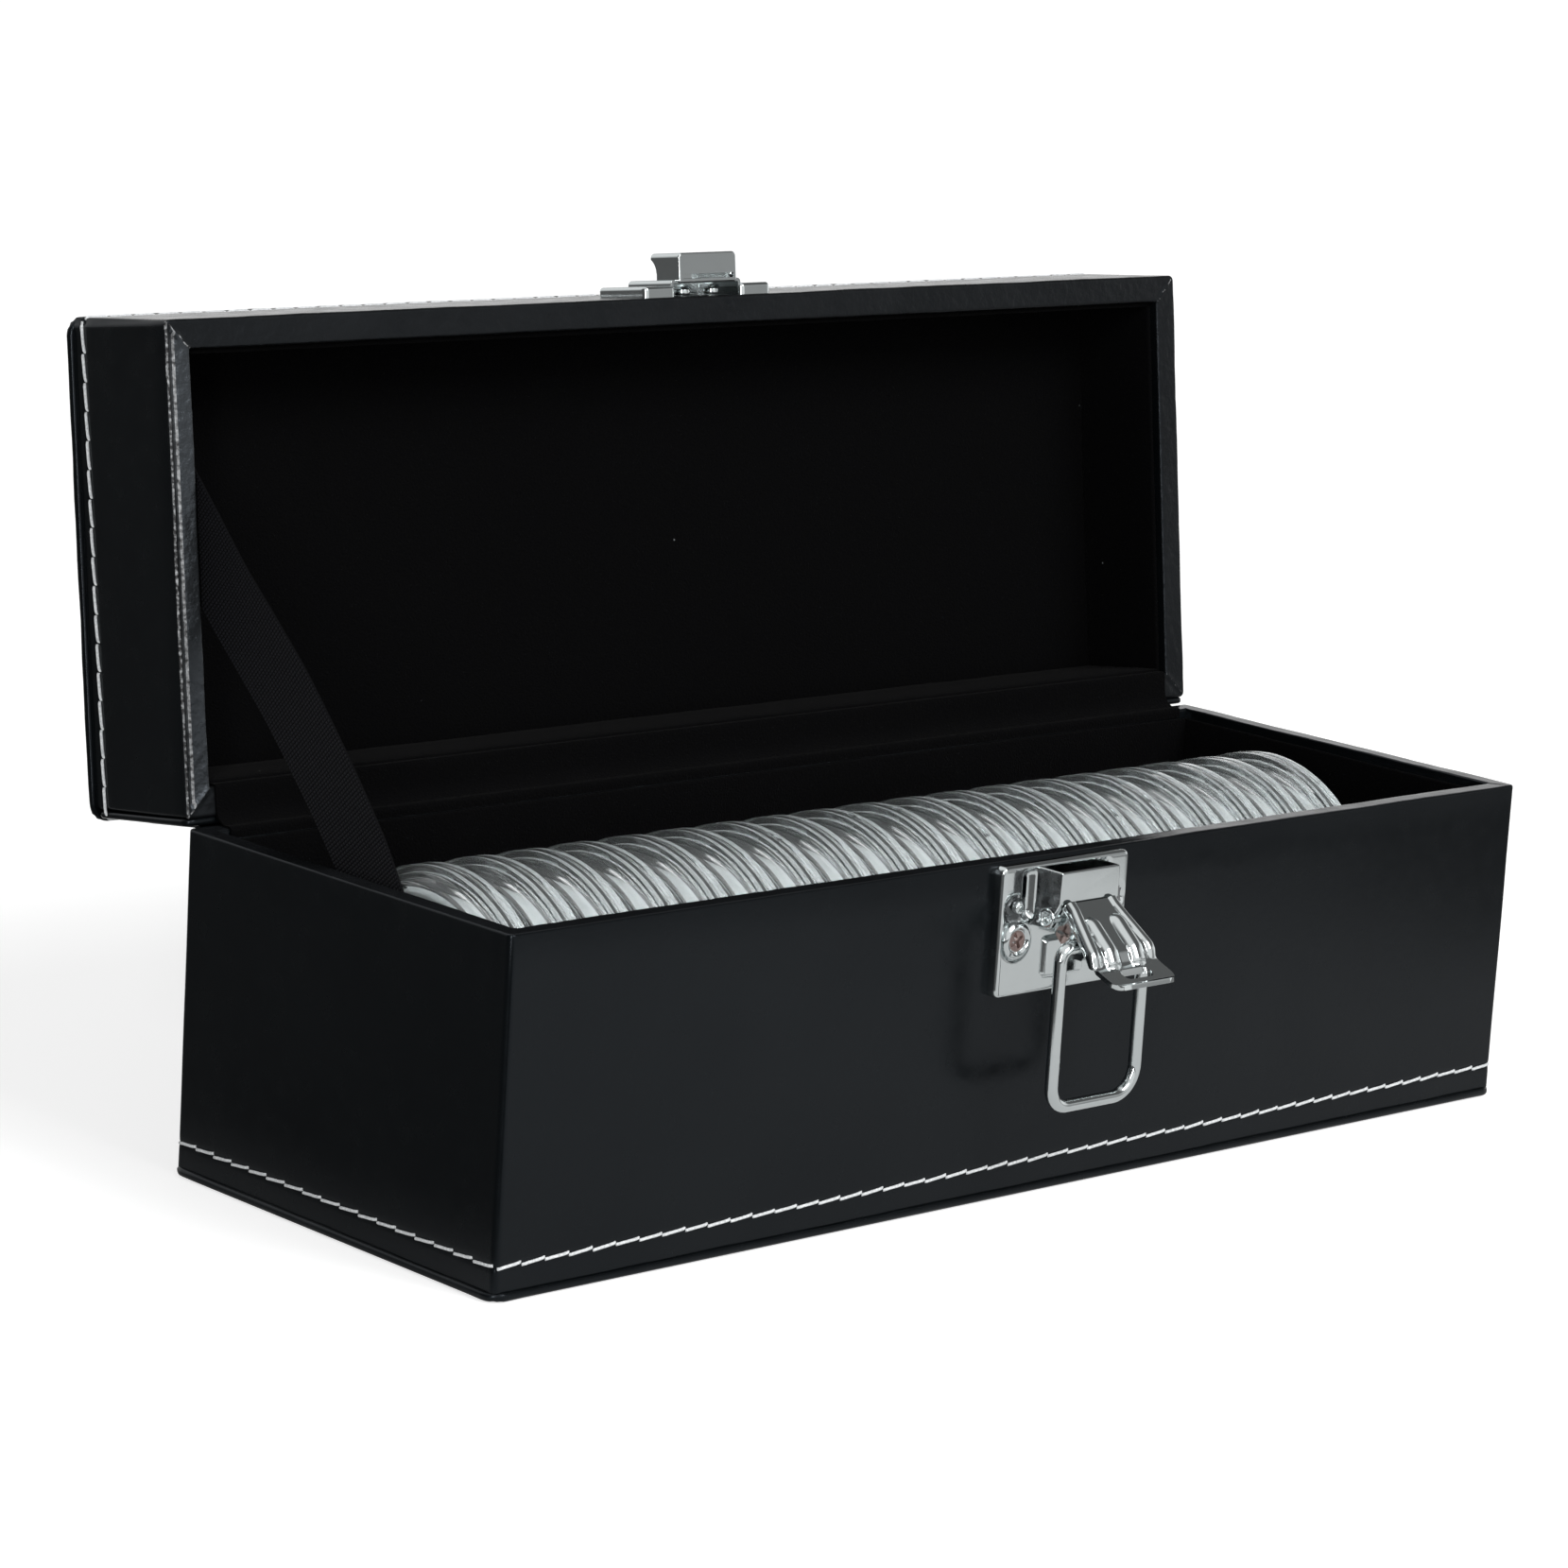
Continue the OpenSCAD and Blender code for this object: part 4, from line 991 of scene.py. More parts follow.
# %% [markdown]
# ## The velvet lining
# Cards covered with velvet stand inside the walls, one lies on the floor and a padded one fills
# the lid. A wall ring is a block whose top and bottom are inset and bridged into a hole; its
# upper edge is rounded, as cloth is over the edge of a card. The lid's panel is padded, so it
# swells gently between its edges.

# %% Line the walls
def lining_ring(name, low, high, thickness, roundness=0.35):
    """Four thin panels as one ring, in mm."""
    obj = edit(add_block(name, low, high))
    choose(obj, "FACE", lambda f: abs(f.normal.z) > 0.9)
    inset(thickness, use_individual=True)
    bpy.ops.mesh.bridge_edge_loops()
    round_edges(obj, lambda e: sharp(70)(e) and not upright(e), roundness, 3)
    for axis in range(3):
        slice_up(obj, axis, steps(low[axis], high[axis], round((high[axis] - low[axis]) / 6)))
    return unsettle(obj, 0.12, 11)

PANEL_T = 0.8
ROOM_W, ROOM_D, ROOM_TOP = 106.4, 33.3, 73.8

base_ring = lining_ring("base_velvet_walls", *box_mm("base_wall_lining"), PANEL_T)
complete(base_ring, velvet, "velvet", "base", ["base_wall_lining"])
lid_ring = lining_ring("lid_velvet_walls", Vector((-ROOM_W, LID_Y - ROOM_D, LID_RIM + 1.5)),
                       Vector((ROOM_W, LID_Y + ROOM_D, ROOM_TOP)), PANEL_T)
complete(open_lid(lid_ring), velvet, "velvet", "lid", ["lid_wall_lining"])

# %% [markdown]
# ### Floor and padded panel
# The base's floor is a flat card covered with velvet.

# %% Lay the floor and the padded panel
def velvet_panel(name, low, high, swell, up):
    """A panel that swells by some mm between its edges, upwards or downwards."""
    obj = edit(add_block(name, low, high))
    round_edges(obj, sharp(70), 0.25, 2)
    for axis in (0, 1):
        slice_up(obj, axis, steps(low[axis], high[axis], round((high[axis] - low[axis]) / 4)))
    center, half = (low + high) / 2, (high - low) / 2
    for vertex in obj.data.vertices:
        place = vertex.co / MM
        if (place.z - center.z) * up > 0.1:
            edge = min(half.x - abs(place.x - center.x), half.y - abs(place.y - center.y))
            vertex.co.z += up * swell * MM * (1 - math.exp(-max(edge, 0) / 5))
    return unsettle(obj, 0.10, 14, where=lambda p: 1 if (p.z - center.z) * up > 0 else 0)

low, high = box_mm("base_floor_lining")
low.x, high.x, low.y, high.y = -106.8, 106.8, -34.3, 34.3
floor_panel = velvet_panel("base_velvet_floor", low, high, 0.0, 1)
complete(floor_panel, velvet, "velvet", "base", ["base_floor_lining"])
lid_panel = velvet_panel("lid_velvet_panel", Vector((-107.0, LID_Y - 33.8, 73.7)),
                         Vector((107.0, LID_Y + 33.8, 75.2)), 0.7, -1)
complete(open_lid(lid_panel), velvet, "velvet", "lid", ["lid_top_lining"])

# %% [markdown]
# ## Strips that cross the hinge
# The ribbon, the leather hinge and the cloth inside it are each one thin sheet from the base to
# the lid.

# %% Helpers for strips
BETWEEN = 24

def smooth_line(points, count):
    """Evenly spaced points along a smooth line through some points, and its length."""
    points = [Vector(p) for p in points]
    ends = [2 * points[0] - points[1], *points, 2 * points[-1] - points[-2]]
    dense = []
    for i in range(1, len(ends) - 2):
        for j in range(BETWEEN):
            t = j / BETWEEN
            a, b, c, d = ends[i - 1:i + 3]
            dense.append(0.5 * ((2 * b) + (c - a) * t + (2 * a - 5 * b + 4 * c - d) * t * t
                                + (3 * b - a - 3 * c + d) * t ** 3))
    dense.append(points[-1])
    run = [0.0]
    for a, b in zip(dense, dense[1:]):
        run.append(run[-1] + (b - a).length)
    line, k = [], 0
    for i in range(count + 1):
        goal = run[-1] * i / count
        while k < len(run) - 2 and run[k + 1] < goal:
            k += 1
        share = (goal - run[k]) / max(run[k + 1] - run[k], 1e-9)
        line.append(dense[k].lerp(dense[k + 1], share))
    return line, run[-1]

def lay_strip(name, across, along, place, thickness):
    """A plane cut into squares, each corner of which is put in place by its two shares from 0 to 1."""
    deselect()
    bpy.ops.mesh.primitive_grid_add(x_subdivisions=across, y_subdivisions=along, size=1, calc_uvs=True)
    obj = settle(name)
    for vertex in obj.data.vertices:
        u, v = vertex.co.x + 0.5, vertex.co.y + 0.5
        vertex.co = Vector(place(u, v)) * MM
    return apply_modifier(obj, "SOLIDIFY", thickness=thickness * MM, offset=0)

# %% [markdown]
# ### The ribbon that stops the lid
# With the lid open the ribbon is taut between the base's left wall and the lid's. Its side line
# runs through points between its two ends, and it bulges a little towards the middle of its
# width, because a taut tape is never a perfect plane.

# %% Lay the ribbon
RIBBON_W, RIBBON_T, RIBBON_SQUARES = 13, 0.34, 72
RIBBON_X, ANCHOR_X = -105.36, -105.4
foot, head = Vector((-6.5, 45.6)), Vector(opened(-15.2, 64.4))
ribbon_points = [foot, (-1.9, 50.9), (4.0, 57.7), (10.1, 64.6), (16.4, 71.1), (23.0, 77.5), (30.2, 83.6),
                 (38.6, 90.6), (47.0, 98.6), head]
ribbon_line, ribbon_length = smooth_line([Vector((0, *p)) for p in ribbon_points], RIBBON_SQUARES)

def ribbon_place(u, v):
    """A point of the ribbon: across it by u and from the base to the lid by v, both from 0 to 1."""
    i = min(int(v * RIBBON_SQUARES), RIBBON_SQUARES - 1)
    center = ribbon_line[i].lerp(ribbon_line[i + 1], v * RIBBON_SQUARES - i)
    run = (ribbon_line[i + 1] - ribbon_line[i]).normalized()
    across = Vector((0, -run.z, run.y))
    in_base = 1 - min(v / 0.16, 1)
    bulge = 0.5 * math.sin(math.pi * v) * math.sin(math.pi * u) ** 2
    x = RIBBON_X - 1.25 * in_base + 0.35 * bulge + 0.06 * math.sin(9 * v + 3 * u)
    return (x, *(center + across * (u - 0.5) * RIBBON_W).yz)

ribbon = lay_strip("lid_ribbon", 18, RIBBON_SQUARES, ribbon_place, RIBBON_T)
print("ribbon length in mm:", round(ribbon_length, 1))

# %% [markdown]
# ### The weave
# The threads of a ribbon are too small to be modelled. Two sine waves along the UV map, one
# across and one along, are multiplied: where the product is large, one thread passes over the
# other. That drives both the colour and the relief, in the ribbon's own millimetres.

# %% Weave the ribbon
def make_weave(name, length, width, pitch):
    """Plain weave: threads that pass over and under each other, drawn on the UV map."""
    tape = new_finish(name, (0.004, 0.004, 0.005), 0.5, Specular_IOR_Level=0.07, Sheen_Weight=0.01)
    uv = add_node(tape, "UVMap", uv_map="UVMap").outputs["UV"]
    split = add_node(tape, "SeparateXYZ", {"Vector": uv})
    waves = []
    for axis, size in (("X", width), ("Y", length)):
        turns = add_node(tape, "Math", {0: split.outputs[axis]}, operation="MULTIPLY")
        turns.inputs[1].default_value = math.pi * size / pitch
        waves.append(add_node(tape, "Math", {0: turns.outputs[0]}, operation="SINE").outputs[0])
    over = add_node(tape, "Math", {0: waves[0], 1: waves[1]}, operation="MULTIPLY").outputs[0]
    height = add_node(tape, "Math", {0: over}, operation="ABSOLUTE").outputs[0]
    tint(tape, height, (0.0006, 0.0006, 0.0008), (0.0125, 0.013, 0.0165))
    relief(tape, height, 0.2, 1.0)
    return tape

weave = make_weave("ribbon_weave", ribbon_length, RIBBON_W, 0.62)
complete(ribbon, weave, "ribbon", None, ["lid_stay_ribbon"], angle=60)
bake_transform(ribbon)

# %% [markdown]
# ### Two strips along the hinge
# No metal hinge shows in the photograph, so the lid is taken to hang on a strip of leather
# outside and one of velvet inside, which are glued to both boxes and bend between them. Each
# follows a line in side view, whose lid half is given on the shut lid and turned open with it.

# %% Bend the leather hinge and its cloth
HINGE_SQUARES = 40

def hinge_strip(name, points, half_width, thickness, material, slot, node):
    """A strip across the case that follows a line in side view, in mm."""
    line, length = smooth_line([Vector((0, *p)) for p in points], HINGE_SQUARES)
    def place(u, v):
        i = min(int(v * HINGE_SQUARES), HINGE_SQUARES - 1)
        center = line[i].lerp(line[i + 1], v * HINGE_SQUARES - i)
        x = (u - 0.5) * 2 * half_width
        wave = 0.06 * math.sin(x * 0.21 + 5 * v) * math.sin(math.pi * v)
        return (x, center.y + wave, center.z)
    obj = lay_strip(name, 72, HINGE_SQUARES, place, thickness)
    complete(obj, material, slot, None, [node], angle=60)
    print(name, "is", round(2 * half_width, 1), "x", round(length, 1), "mm flat")
    return obj

outer_y = DEPTH / 2 + 0.25
outer_points = [(outer_y, HINGE.z - 14), (outer_y, HINGE.z - 7), (outer_y, HINGE.z - 2.2),
                (outer_y + 0.35, HINGE.z - 0.8), opened(outer_y + 0.35, HINGE.z + 0.8),
                opened(outer_y, HINGE.z + 2.2), opened(outer_y, HINGE.z + 7), opened(outer_y, HINGE.z + 14)]
outer_hinge = hinge_strip("hinge_leather_strip", outer_points, WIDTH / 2 - 3, 0.46, leather, "leather",
                          "hinge_leather")
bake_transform(outer_hinge)

cloth_y, lid_cloth_y = DEPTH / 2 - BASE_WALL - 0.25, DEPTH / 2 - LID_BACK_T - LID_WALL - 0.25
inner_points = [(cloth_y, BASE_RIM - 1.3), (cloth_y + 0.05, BASE_RIM - 0.1), (cloth_y + 0.5, BASE_RIM + 0.25),
                (HINGE.y - 1.6, BASE_RIM + 0.28), opened(HINGE.y - 1.6, LID_RIM - 0.28),
                opened(lid_cloth_y + 0.5, LID_RIM - 0.25), opened(lid_cloth_y + 0.05, LID_RIM + 0.1),
                opened(lid_cloth_y, LID_RIM + 1.3)]
inner_hinge = hinge_strip("hinge_velvet_strip", inner_points, 105.6, 0.3, velvet, "velvet",
                          "hinge_cloth")
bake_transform(inner_hinge)

# %% [markdown]
# ## The clear capsules
# A capsule is two clear cups that snap together over a foam ring. One cup is turned from a
# cylinder: its outer face is inset and raised to leave the snap rim standing out, its other side
# is inset and hollowed, and every edge is rounded so that it catches a line of light. A profile
# spun round the axis would give the same cup, but insets keep the order in which it is thought of.

# %% Shape one cup
CAP_LOW, CAP_HIGH = box_mm("capsule_01")
CAPSULE_R = (CAP_HIGH.z - CAP_LOW.z) / 2
CAPSULE_T = CAP_HIGH.x - CAP_LOW.x
CAPSULE_Z = (CAP_HIGH.z + CAP_LOW.z) / 2
FACE_R, SNAP_T, SHELL_T = 23.4, 1.9, 0.95
SEAM_Z, LEDGE, STEP, LINE_W, LINE_DEEP = 0.01, 1.3, 0.5, 0.35, 0.16

def flat_at(z):
    """A test for faces that lie across the axis at one height, in mm."""
    return lambda f: abs(f.normal.z) > 0.9 and abs(middle(f).z - z) < 0.01

def ring_at(radius, z):
    """A test for edges that run round the axis at one radius and height, in mm."""
    def test(e):
        ends = [v.co / MM for v in e.verts]
        return all(abs(p.z - z) < 0.01 and abs(p.xy.length - radius) < 0.02 for p in ends)
    return test

def make_cup():
    """Half a capsule with its seam on z = 0 and its face up, in mm."""
    half = CAPSULE_T / 2 - 0.02
    obj = edit(add_rod("cup", (0, 0, SEAM_Z), (0, 0, SNAP_T), CAPSULE_R, 96))
    choose(obj, "FACE", flat_at(SNAP_T))
    inset(CAPSULE_R - FACE_R)
    extrude(0, 0, half - SNAP_T)
    inset(LEDGE)
    for rise in (-LINE_DEEP, LINE_DEEP):
        inset(LINE_W)
        shift(0, 0, rise)
    choose(obj, "FACE", flat_at(SEAM_Z))
    for width in (LEDGE, STEP, CAPSULE_R - LEDGE - STEP - FACE_R + SHELL_T):
        inset(width)
    extrude(0, 0, half - SHELL_T)
    choose(obj, "EDGE", ring_at(CAPSULE_R - LEDGE, SEAM_Z))
    shift(0, 0, 0.35)
    round_edges(obj, ring_at(FACE_R, half), 0.8, 4)
    round_edges(obj, lambda e: ring_at(CAPSULE_R, SNAP_T)(e) or ring_at(CAPSULE_R, SEAM_Z)(e), 0.3, 3)
    round_edges(obj, ring_at(FACE_R, SNAP_T), 0.25, 2)
    deselect()
    return obj

# %% [markdown]
# ### The closed capsule
# The second cup is the first one mirrored across the seam, with its faces turned outwards again.
# A small pry tab breaks the round rim.

# %% Close two cups
cup = make_cup()
lid_cup = duplicate(cup, "lid_cup")
lid_cup.data.transform(Matrix.Scale(-1, 4, (0, 0, 1)))
clean(lid_cup)
tab = edit(add_block("tab", (-0.9, CAPSULE_R - 0.5, 0.15), (0.9, CAPSULE_R, 1.0)))
bpy.ops.mesh.select_all(action="SELECT")
bevel(0.12, 2)
deselect()
capsule = join([cup, lid_cup, tab], "capsule")
print("one capsule has", len(capsule.data.polygons), "faces")

# %% [markdown]
# ### A row of capsules
# Each capsule stands at its node of the frame, with its axis turned along the tray. It is rolled
# by an angle of its own, from a seeded draw, so that the pry tabs do not line up.

# %% Fill the tray with capsules
def in_tray(node):
    """The way from a piece turned round Z to where its capsule stands in the tray."""
    low, high = box_mm(node)
    return (Matrix.Translation(Vector(((low.x + high.x) / 2, 0, CAPSULE_Z)) * MM)
            @ Matrix.Rotation(math.pi / 2, 4, "Y"))

dice = random.Random(19)
capsule_nodes = sorted(name for name in frame["nodes"] if name.startswith("capsule_"))
for node in capsule_nodes:
    shell = duplicate(capsule, node.replace("capsule", "coin_capsule"))
    roll = Matrix.Rotation(dice.uniform(0, 2 * math.pi), 4, "Z")
    shell.data.transform(in_tray(node) @ roll)
    complete(shell, clear_plastic, "clear_plastic", "base", [node], angle=40)
bpy.data.objects.remove(capsule)

# %% [markdown]
# ### Foam rings
# A ring of soft foam fills the room between a coin and the capsule. Both ends of a short cylinder
# are inset and bridged into a hole, and the ring is unsettled a little.

# %% Put a foam ring in each
def foam_ring():
    """A soft ring with rounded edges, turned round Z, in mm."""
    inner, outer, half = 13.5, FACE_R - SHELL_T - 0.25, (CAPSULE_T - 2 * SHELL_T) / 2 - 0.15
    obj = edit(add_rod("foam", (0, 0, -half), (0, 0, half), outer, 64))
    choose(obj, "FACE", lambda f: abs(f.normal.z) > 0.9)
    inset(outer - inner, use_individual=True)
    bpy.ops.mesh.bridge_edge_loops()
    round_edges(obj, sharp(70), 0.5, 3)
    slice_up(obj, 2, [-half / 3, half / 3])
    return unsettle(obj, 0.15, 4)

ring = foam_ring()
rings = []
for node in capsule_nodes:
    copy = duplicate(ring, "foam_copy")
    copy.data.transform(in_tray(node))
    rings.append(copy)
bpy.data.objects.remove(ring)
foam_rings = complete(join(rings, "foam_rings"), foam, "foam", "base", ["foam_inserts"], angle=50)

# %% [markdown]
# ## The toggle latch
# The latch is stamped from sheet and plated. Its plate is a shallow pan screwed to the front. A
# U-shaped bridge on it carries the lever's pin, and a bent wire hangs from the lever. All of it
# is modelled in place, with x along the front and out as the distance off the leather. Each form
# starts as a block that is cut by slanting planes or by other shapes, and every edge is rounded,
# since chrome is drawn by the thin lights along its edges.

# %% Helpers for the latch
def at(x, out, z):
    """A point in front of the leather: x, distance off it and height, in mm."""
    return Vector((x, FRONT_Y - out, z))

def front_block(name, x0, x1, out0, out1, z0, z1):
    """A block between two distances off the leather, in mm."""
    return add_block(name, at(x0, out1, z0), at(x1, out0, z1))

def pin_along_x(name, x0, x1, out, z, radius, sides=40):
    """A cylinder that lies along the front, in mm."""
    return add_rod(name, at(x0, out, z), at(x1, out, z), radius, sides)

def pin_off_front(name, x, z, out0, out1, radius, sides=40):
    """A cylinder that stands off the front, in mm."""
    return add_rod(name, at(x, out0, z), at(x, out1, z), radius, sides)

def chop(obj, point, away):
    """Cuts off what lies past a slanting plane, which is given in side view as out and height."""
    edit(obj)
    bpy.ops.mesh.select_all(action="SELECT")
    bpy.ops.mesh.bisect(plane_co=at(0, *point) * MM, plane_no=(0, -away[0], away[1]), use_fill=True,
                        clear_outer=True)
    deselect()
    return obj

def soften(obj, width, segments=3, angle=40):
    """Rounds every edge sharper than an angle."""
    return apply_modifier(obj, "BEVEL", width=width * MM, segments=segments, limit_method="ANGLE",
                          angle_limit=math.radians(angle), harden_normals=False)

def make_pan(name, x0, x1, z0, z1, out, corner, roll):
    """A shallow pan with rolled sides, open towards the leather."""
    obj = edit(front_block(name, x0, x1, 0, out, z0, z1))
    choose(obj, "FACE", lambda f: f.normal.y > 0.9)
    bpy.ops.mesh.delete(type="FACE")
    round_edges(obj, off_front, corner, 5)
    round_edges(obj, lambda e: sharp(70)(e) and abs(middle(e).y - FRONT_Y + out) < 0.01, roll, 4)
    deselect()
    return obj

def terraces(*rings):
    """Insets the selected face ring by ring and raises each one off the leather, in mm."""
    for width, rise in rings:
        inset(width)
        shift(0, -rise, 0)

def press(obj, out, height):
    """Moves the points of a face off the leather, as a stamping tool does."""
    for vertex in obj.data.vertices:
        x, y, z = vertex.co / MM
        if abs(y - FRONT_Y + out) < 0.01:
            vertex.co.y -= height(x, z) * MM
    return obj

# %% [markdown]
# ### Where the latch's parts are
# The plate's box comes from the frame. The pivot is given in side view, as the distance off the
# leather and the height; screws and knobs are the same at both sides.

# %% Read the latch's places
PLATE_LOW, PLATE_HIGH = box_mm("latch_plate")
PLATE_OUT, PLATE_HALF, SLOT_X = 1.9, 14.05, 8.1
PIVOT = (4.75, 45.85)
SCREW_X, SCREW_Z = 10.45, 42.05
KNOB_Z = 47.35
print("plate is", round(PLATE_HIGH.x - PLATE_LOW.x, 1), "mm wide, its pivot at", PIVOT)

# %% [markdown]
# ### The plate
# The plate is a shallow pan. Its front face is cut into small squares, and each point is pushed
# by the height that the stamping tool has there: valleys beside the bridge, dips round the knobs
# and screws and a pad under the lever. Separate shapes could be cut in, but a stamped sheet has
# soft slopes, which a height gives at once. Then the sheet is thickened and slotted.

# %% Stamp the plate
def from_cup(x, z):
    """How far a point is from the middle of the dip round a knob, in mm."""
    return math.hypot(abs(x) - SCREW_X - 0.35, z - KNOB_Z + 0.5)

def plate_height(x, z):
    """The valleys beside the bridge, the dips round knobs and screws, and the pad, in mm."""
    x = abs(x)
    across = soft_step(x, 6.4, 7.8) * (1 - soft_step(x, 8.4, 10.0))
    valley = -1.15 * across * soft_step(z, 44.4, 46.4) * (1 - soft_step(z, 52.3, 53.3))
    seat = 1 - soft_step(math.hypot(x - SCREW_X, z - SCREW_Z), 2.9, 3.5)
    cup = 1 - soft_step(from_cup(x, z), 1.9, 2.7)
    pad = soft_step(4.4 - x, 0, 0.3) * soft_step(z, 35.6, 35.9) * (1 - soft_step(z, 41.4, 41.7))
    return min(valley, -0.55 * max(0.6 * seat, cup)) + 0.8 * pad

plate = make_pan("latch_base_plate", -PLATE_HALF, PLATE_HALF, PLATE_LOW.z, PLATE_HIGH.z, PLATE_OUT,
                 1.1, 0.7)
slice_up(plate, 0, steps(-13.2, 13.2, 87))
slice_up(plate, 2, steps(PLATE_LOW.z + 0.8, PLATE_HIGH.z - 0.8, 61))
press(plate, PLATE_OUT, plate_height)
give_thickness(plate, 0.7)
for side in (-1, 1):
    slot = edit(front_block("cutter", side * SLOT_X - 0.4, side * SLOT_X + 0.4, -0.5, 2.5, 48.2, 51.9))
    round_edges(slot, off_front, 0.38, 5)
    deselect()
    cut_out(plate, slot)
complete(plate, chrome, "chrome", "base", ["latch_plate"], angle=50)
# The cups round the knobs get the dark chrome, which is painted shade.
second_finish(plate, chrome_painted_shade, lambda p: from_cup(p.x, p.z) < 2.2)

# %% [markdown]
# ### Knobs and screws
# Round heads are short cylinders whose end face is inset and raised ring by ring. The screws have
# a bright rolled ring round a bare flat, so the rings inside get a second finish, and two crossed
# blades cut the recess.

# %% Set the knobs and drive the screws
def make_knob(side):
    """A low round knob with a rolled top."""
    knob = edit(pin_off_front("knob", side * SCREW_X, KNOB_Z, PLATE_OUT - 0.4, PLATE_OUT + 0.55, 1.0))
    choose(knob, "FACE", lambda f: f.normal.y < -0.9)
    terraces((0.3, 0.22), (0.35, 0.06))
    deselect()
    return soften(knob, 0.12, 3, 50)

def make_screw(side):
    """A rolled ring round a bare flat with a cross recess."""
    x = side * SCREW_X
    head = edit(pin_off_front("screw", x, SCREW_Z, PLATE_OUT - 1.1, PLATE_OUT + 0.35, 2.95, 64))
    choose(head, "FACE", lambda f: f.normal.y < -0.9)
    terraces((0.3, 0.33), (0.3, 0.12), (0.25, -0.06), (0.25, -0.3), (0.06, -0.12))
    inset(0.1)
    for metal in (chrome, bare_metal):
        head.data.materials.append(metal)
    bpy.context.object.active_material_index = 1
    bpy.ops.object.material_slot_assign()
    deselect()
    for turn in (0, math.pi / 2):
        blade = front_block("cutter", -1.35, 1.35, PLATE_OUT - 0.5, PLATE_OUT + 2.5, -0.3, 0.3)
        blade.data.transform(Matrix.Translation(Vector((x, 0, SCREW_Z)) * MM)
                             @ Matrix.Rotation(turn + 0.45 * side, 4, "Y"))
        for metal in (chrome, bare_metal):
            blade.data.materials.append(metal)
        for face in blade.data.polygons:
            face.material_index = 1
        cut_out(head, blade)
    return soften(head, 0.05, 2, 60)

knobs = join([make_knob(-1), make_knob(1)], "latch_knobs")
complete(knobs, chrome, "chrome", "base", angle=50)
screws = join([make_screw(-1), make_screw(1)], "latch_screw_heads")
take(screws)
bpy.ops.object.shade_smooth_by_angle(angle=math.radians(35))
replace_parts(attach(screws, "base"), "latch_screws")
print(screws.name, "has", len(screws.data.polygons), "faces in", len(screws.data.materials), "finishes")

# %% [markdown]
# ### The bridge
# The bridge is a folded sheet with two cheeks and a slanting face. A block is cut by two slanting
# planes and hollowed from below. It is rounded before it is hollowed, because the thin tips left
# by the cuts would stop a later bevel from rounding anything, and then softened slightly along
# the new edges.

# %% Fold the bridge
BRIDGE_W, BRIDGE_OUT, BRIDGE_TOP, BRIDGE_FACE_Z, METAL = 6.5, 7.15, 53.4, 48.45, 0.9
bridge = front_block("latch_bridge_shell", -BRIDGE_W, BRIDGE_W, 1.5, BRIDGE_OUT, PIVOT[1] - 1.95,
                     BRIDGE_TOP)
chop(bridge, (BRIDGE_OUT, BRIDGE_FACE_Z), (2.6, -0.55))
chop(bridge, (PIVOT[0] + 1.9, PIVOT[1]), (1, -1))
soften(bridge, 0.32, 4, 50)
hollow = front_block("cutter", METAL - BRIDGE_W, BRIDGE_W - METAL, 0, BRIDGE_OUT - METAL, 30, 60)
cut_out(bridge, hollow)
mouth = front_block("cutter", METAL - BRIDGE_W, BRIDGE_W - METAL, 0, 12, 30, BRIDGE_FACE_Z)
cut_out(bridge, mouth)
soften(bridge, 0.1, 2, 50)
complete(bridge, chrome, "chrome", "base", ["latch_bridge"], angle=40)
# The bridge's cheeks get the dark chrome, which is painted shade and painted dark reflection.
second_finish(bridge, chrome_painted_shade, lambda p: abs(p.x) > BRIDGE_W - 0.05)

# %% [markdown]
# ### The rivet
# The pin is a tube whose ends are rolled outwards over the cheeks. Each head is a ring round a
# hollow; between them a plain shaft is enough.

# %% Rivet the pin
def tube_head(side):
    """The rolled end of a tubular rivet: a ring round a hollow."""
    x0, x1 = sorted((side * (BRIDGE_W + 0.02), side * (BRIDGE_W + 0.57)))
    head = edit(pin_along_x("pin_head", x0, x1, *PIVOT, 1.6))
    choose(head, "FACE", lambda f: f.normal.x * side > 0.9)
    inset(0.75)
    extrude(-side * 0.8, 0, 0)
    inset(0.25)
    shift(side * 0.3, 0, 0)
    deselect()
    return soften(head, 0.24, 4, 50)

shaft = pin_along_x("shaft", -BRIDGE_W, BRIDGE_W, *PIVOT, 1.04)
pin = join([tube_head(-1), tube_head(1), shaft], "latch_rivet")
complete(pin, chrome, "chrome", "base", ["latch_pin"], angle=50)

# %% [markdown]
# ### The lever
# The lever is one stamped sheet: an arm with two beads, a sharp knee and a flat lip for the
# finger. Seen from the side it is a line through four points. The line is cut into short pieces
# and averaged a few times, which rounds the knee as a press would.

# %% Draw the lever's side line
HEEL, KNEE, FOOT, TIP = (2.55, 2.35), (9.65, -3.75), (10.85, -6.05), (16.35, -8.15)
BAIL_EYE = (5.85, -3.55)
BAIL_OUT, BAIL_Z = PIVOT[0] + BAIL_EYE[0], PIVOT[1] + BAIL_EYE[1]
ARM_CUTS, KNEE_CUTS, LIP_CUTS = 28, 12, 20
LEVER_T, LIP_HALF, NECK_HALF, EDGE_R, LIP_R = 0.75, 6.85, 5.25, 0.55, 2.6
bend = [Vector((PIVOT[0] + p[0], PIVOT[1] + p[1])) for p in (HEEL, KNEE, FOOT, TIP)]
side_line = [bend[0].lerp(bend[1], t / ARM_CUTS) for t in range(ARM_CUTS)]
side_line += [bend[1].lerp(bend[2], t / KNEE_CUTS) for t in range(KNEE_CUTS)]
side_line += [bend[2].lerp(bend[3], t / LIP_CUTS) for t in range(LIP_CUTS + 1)]
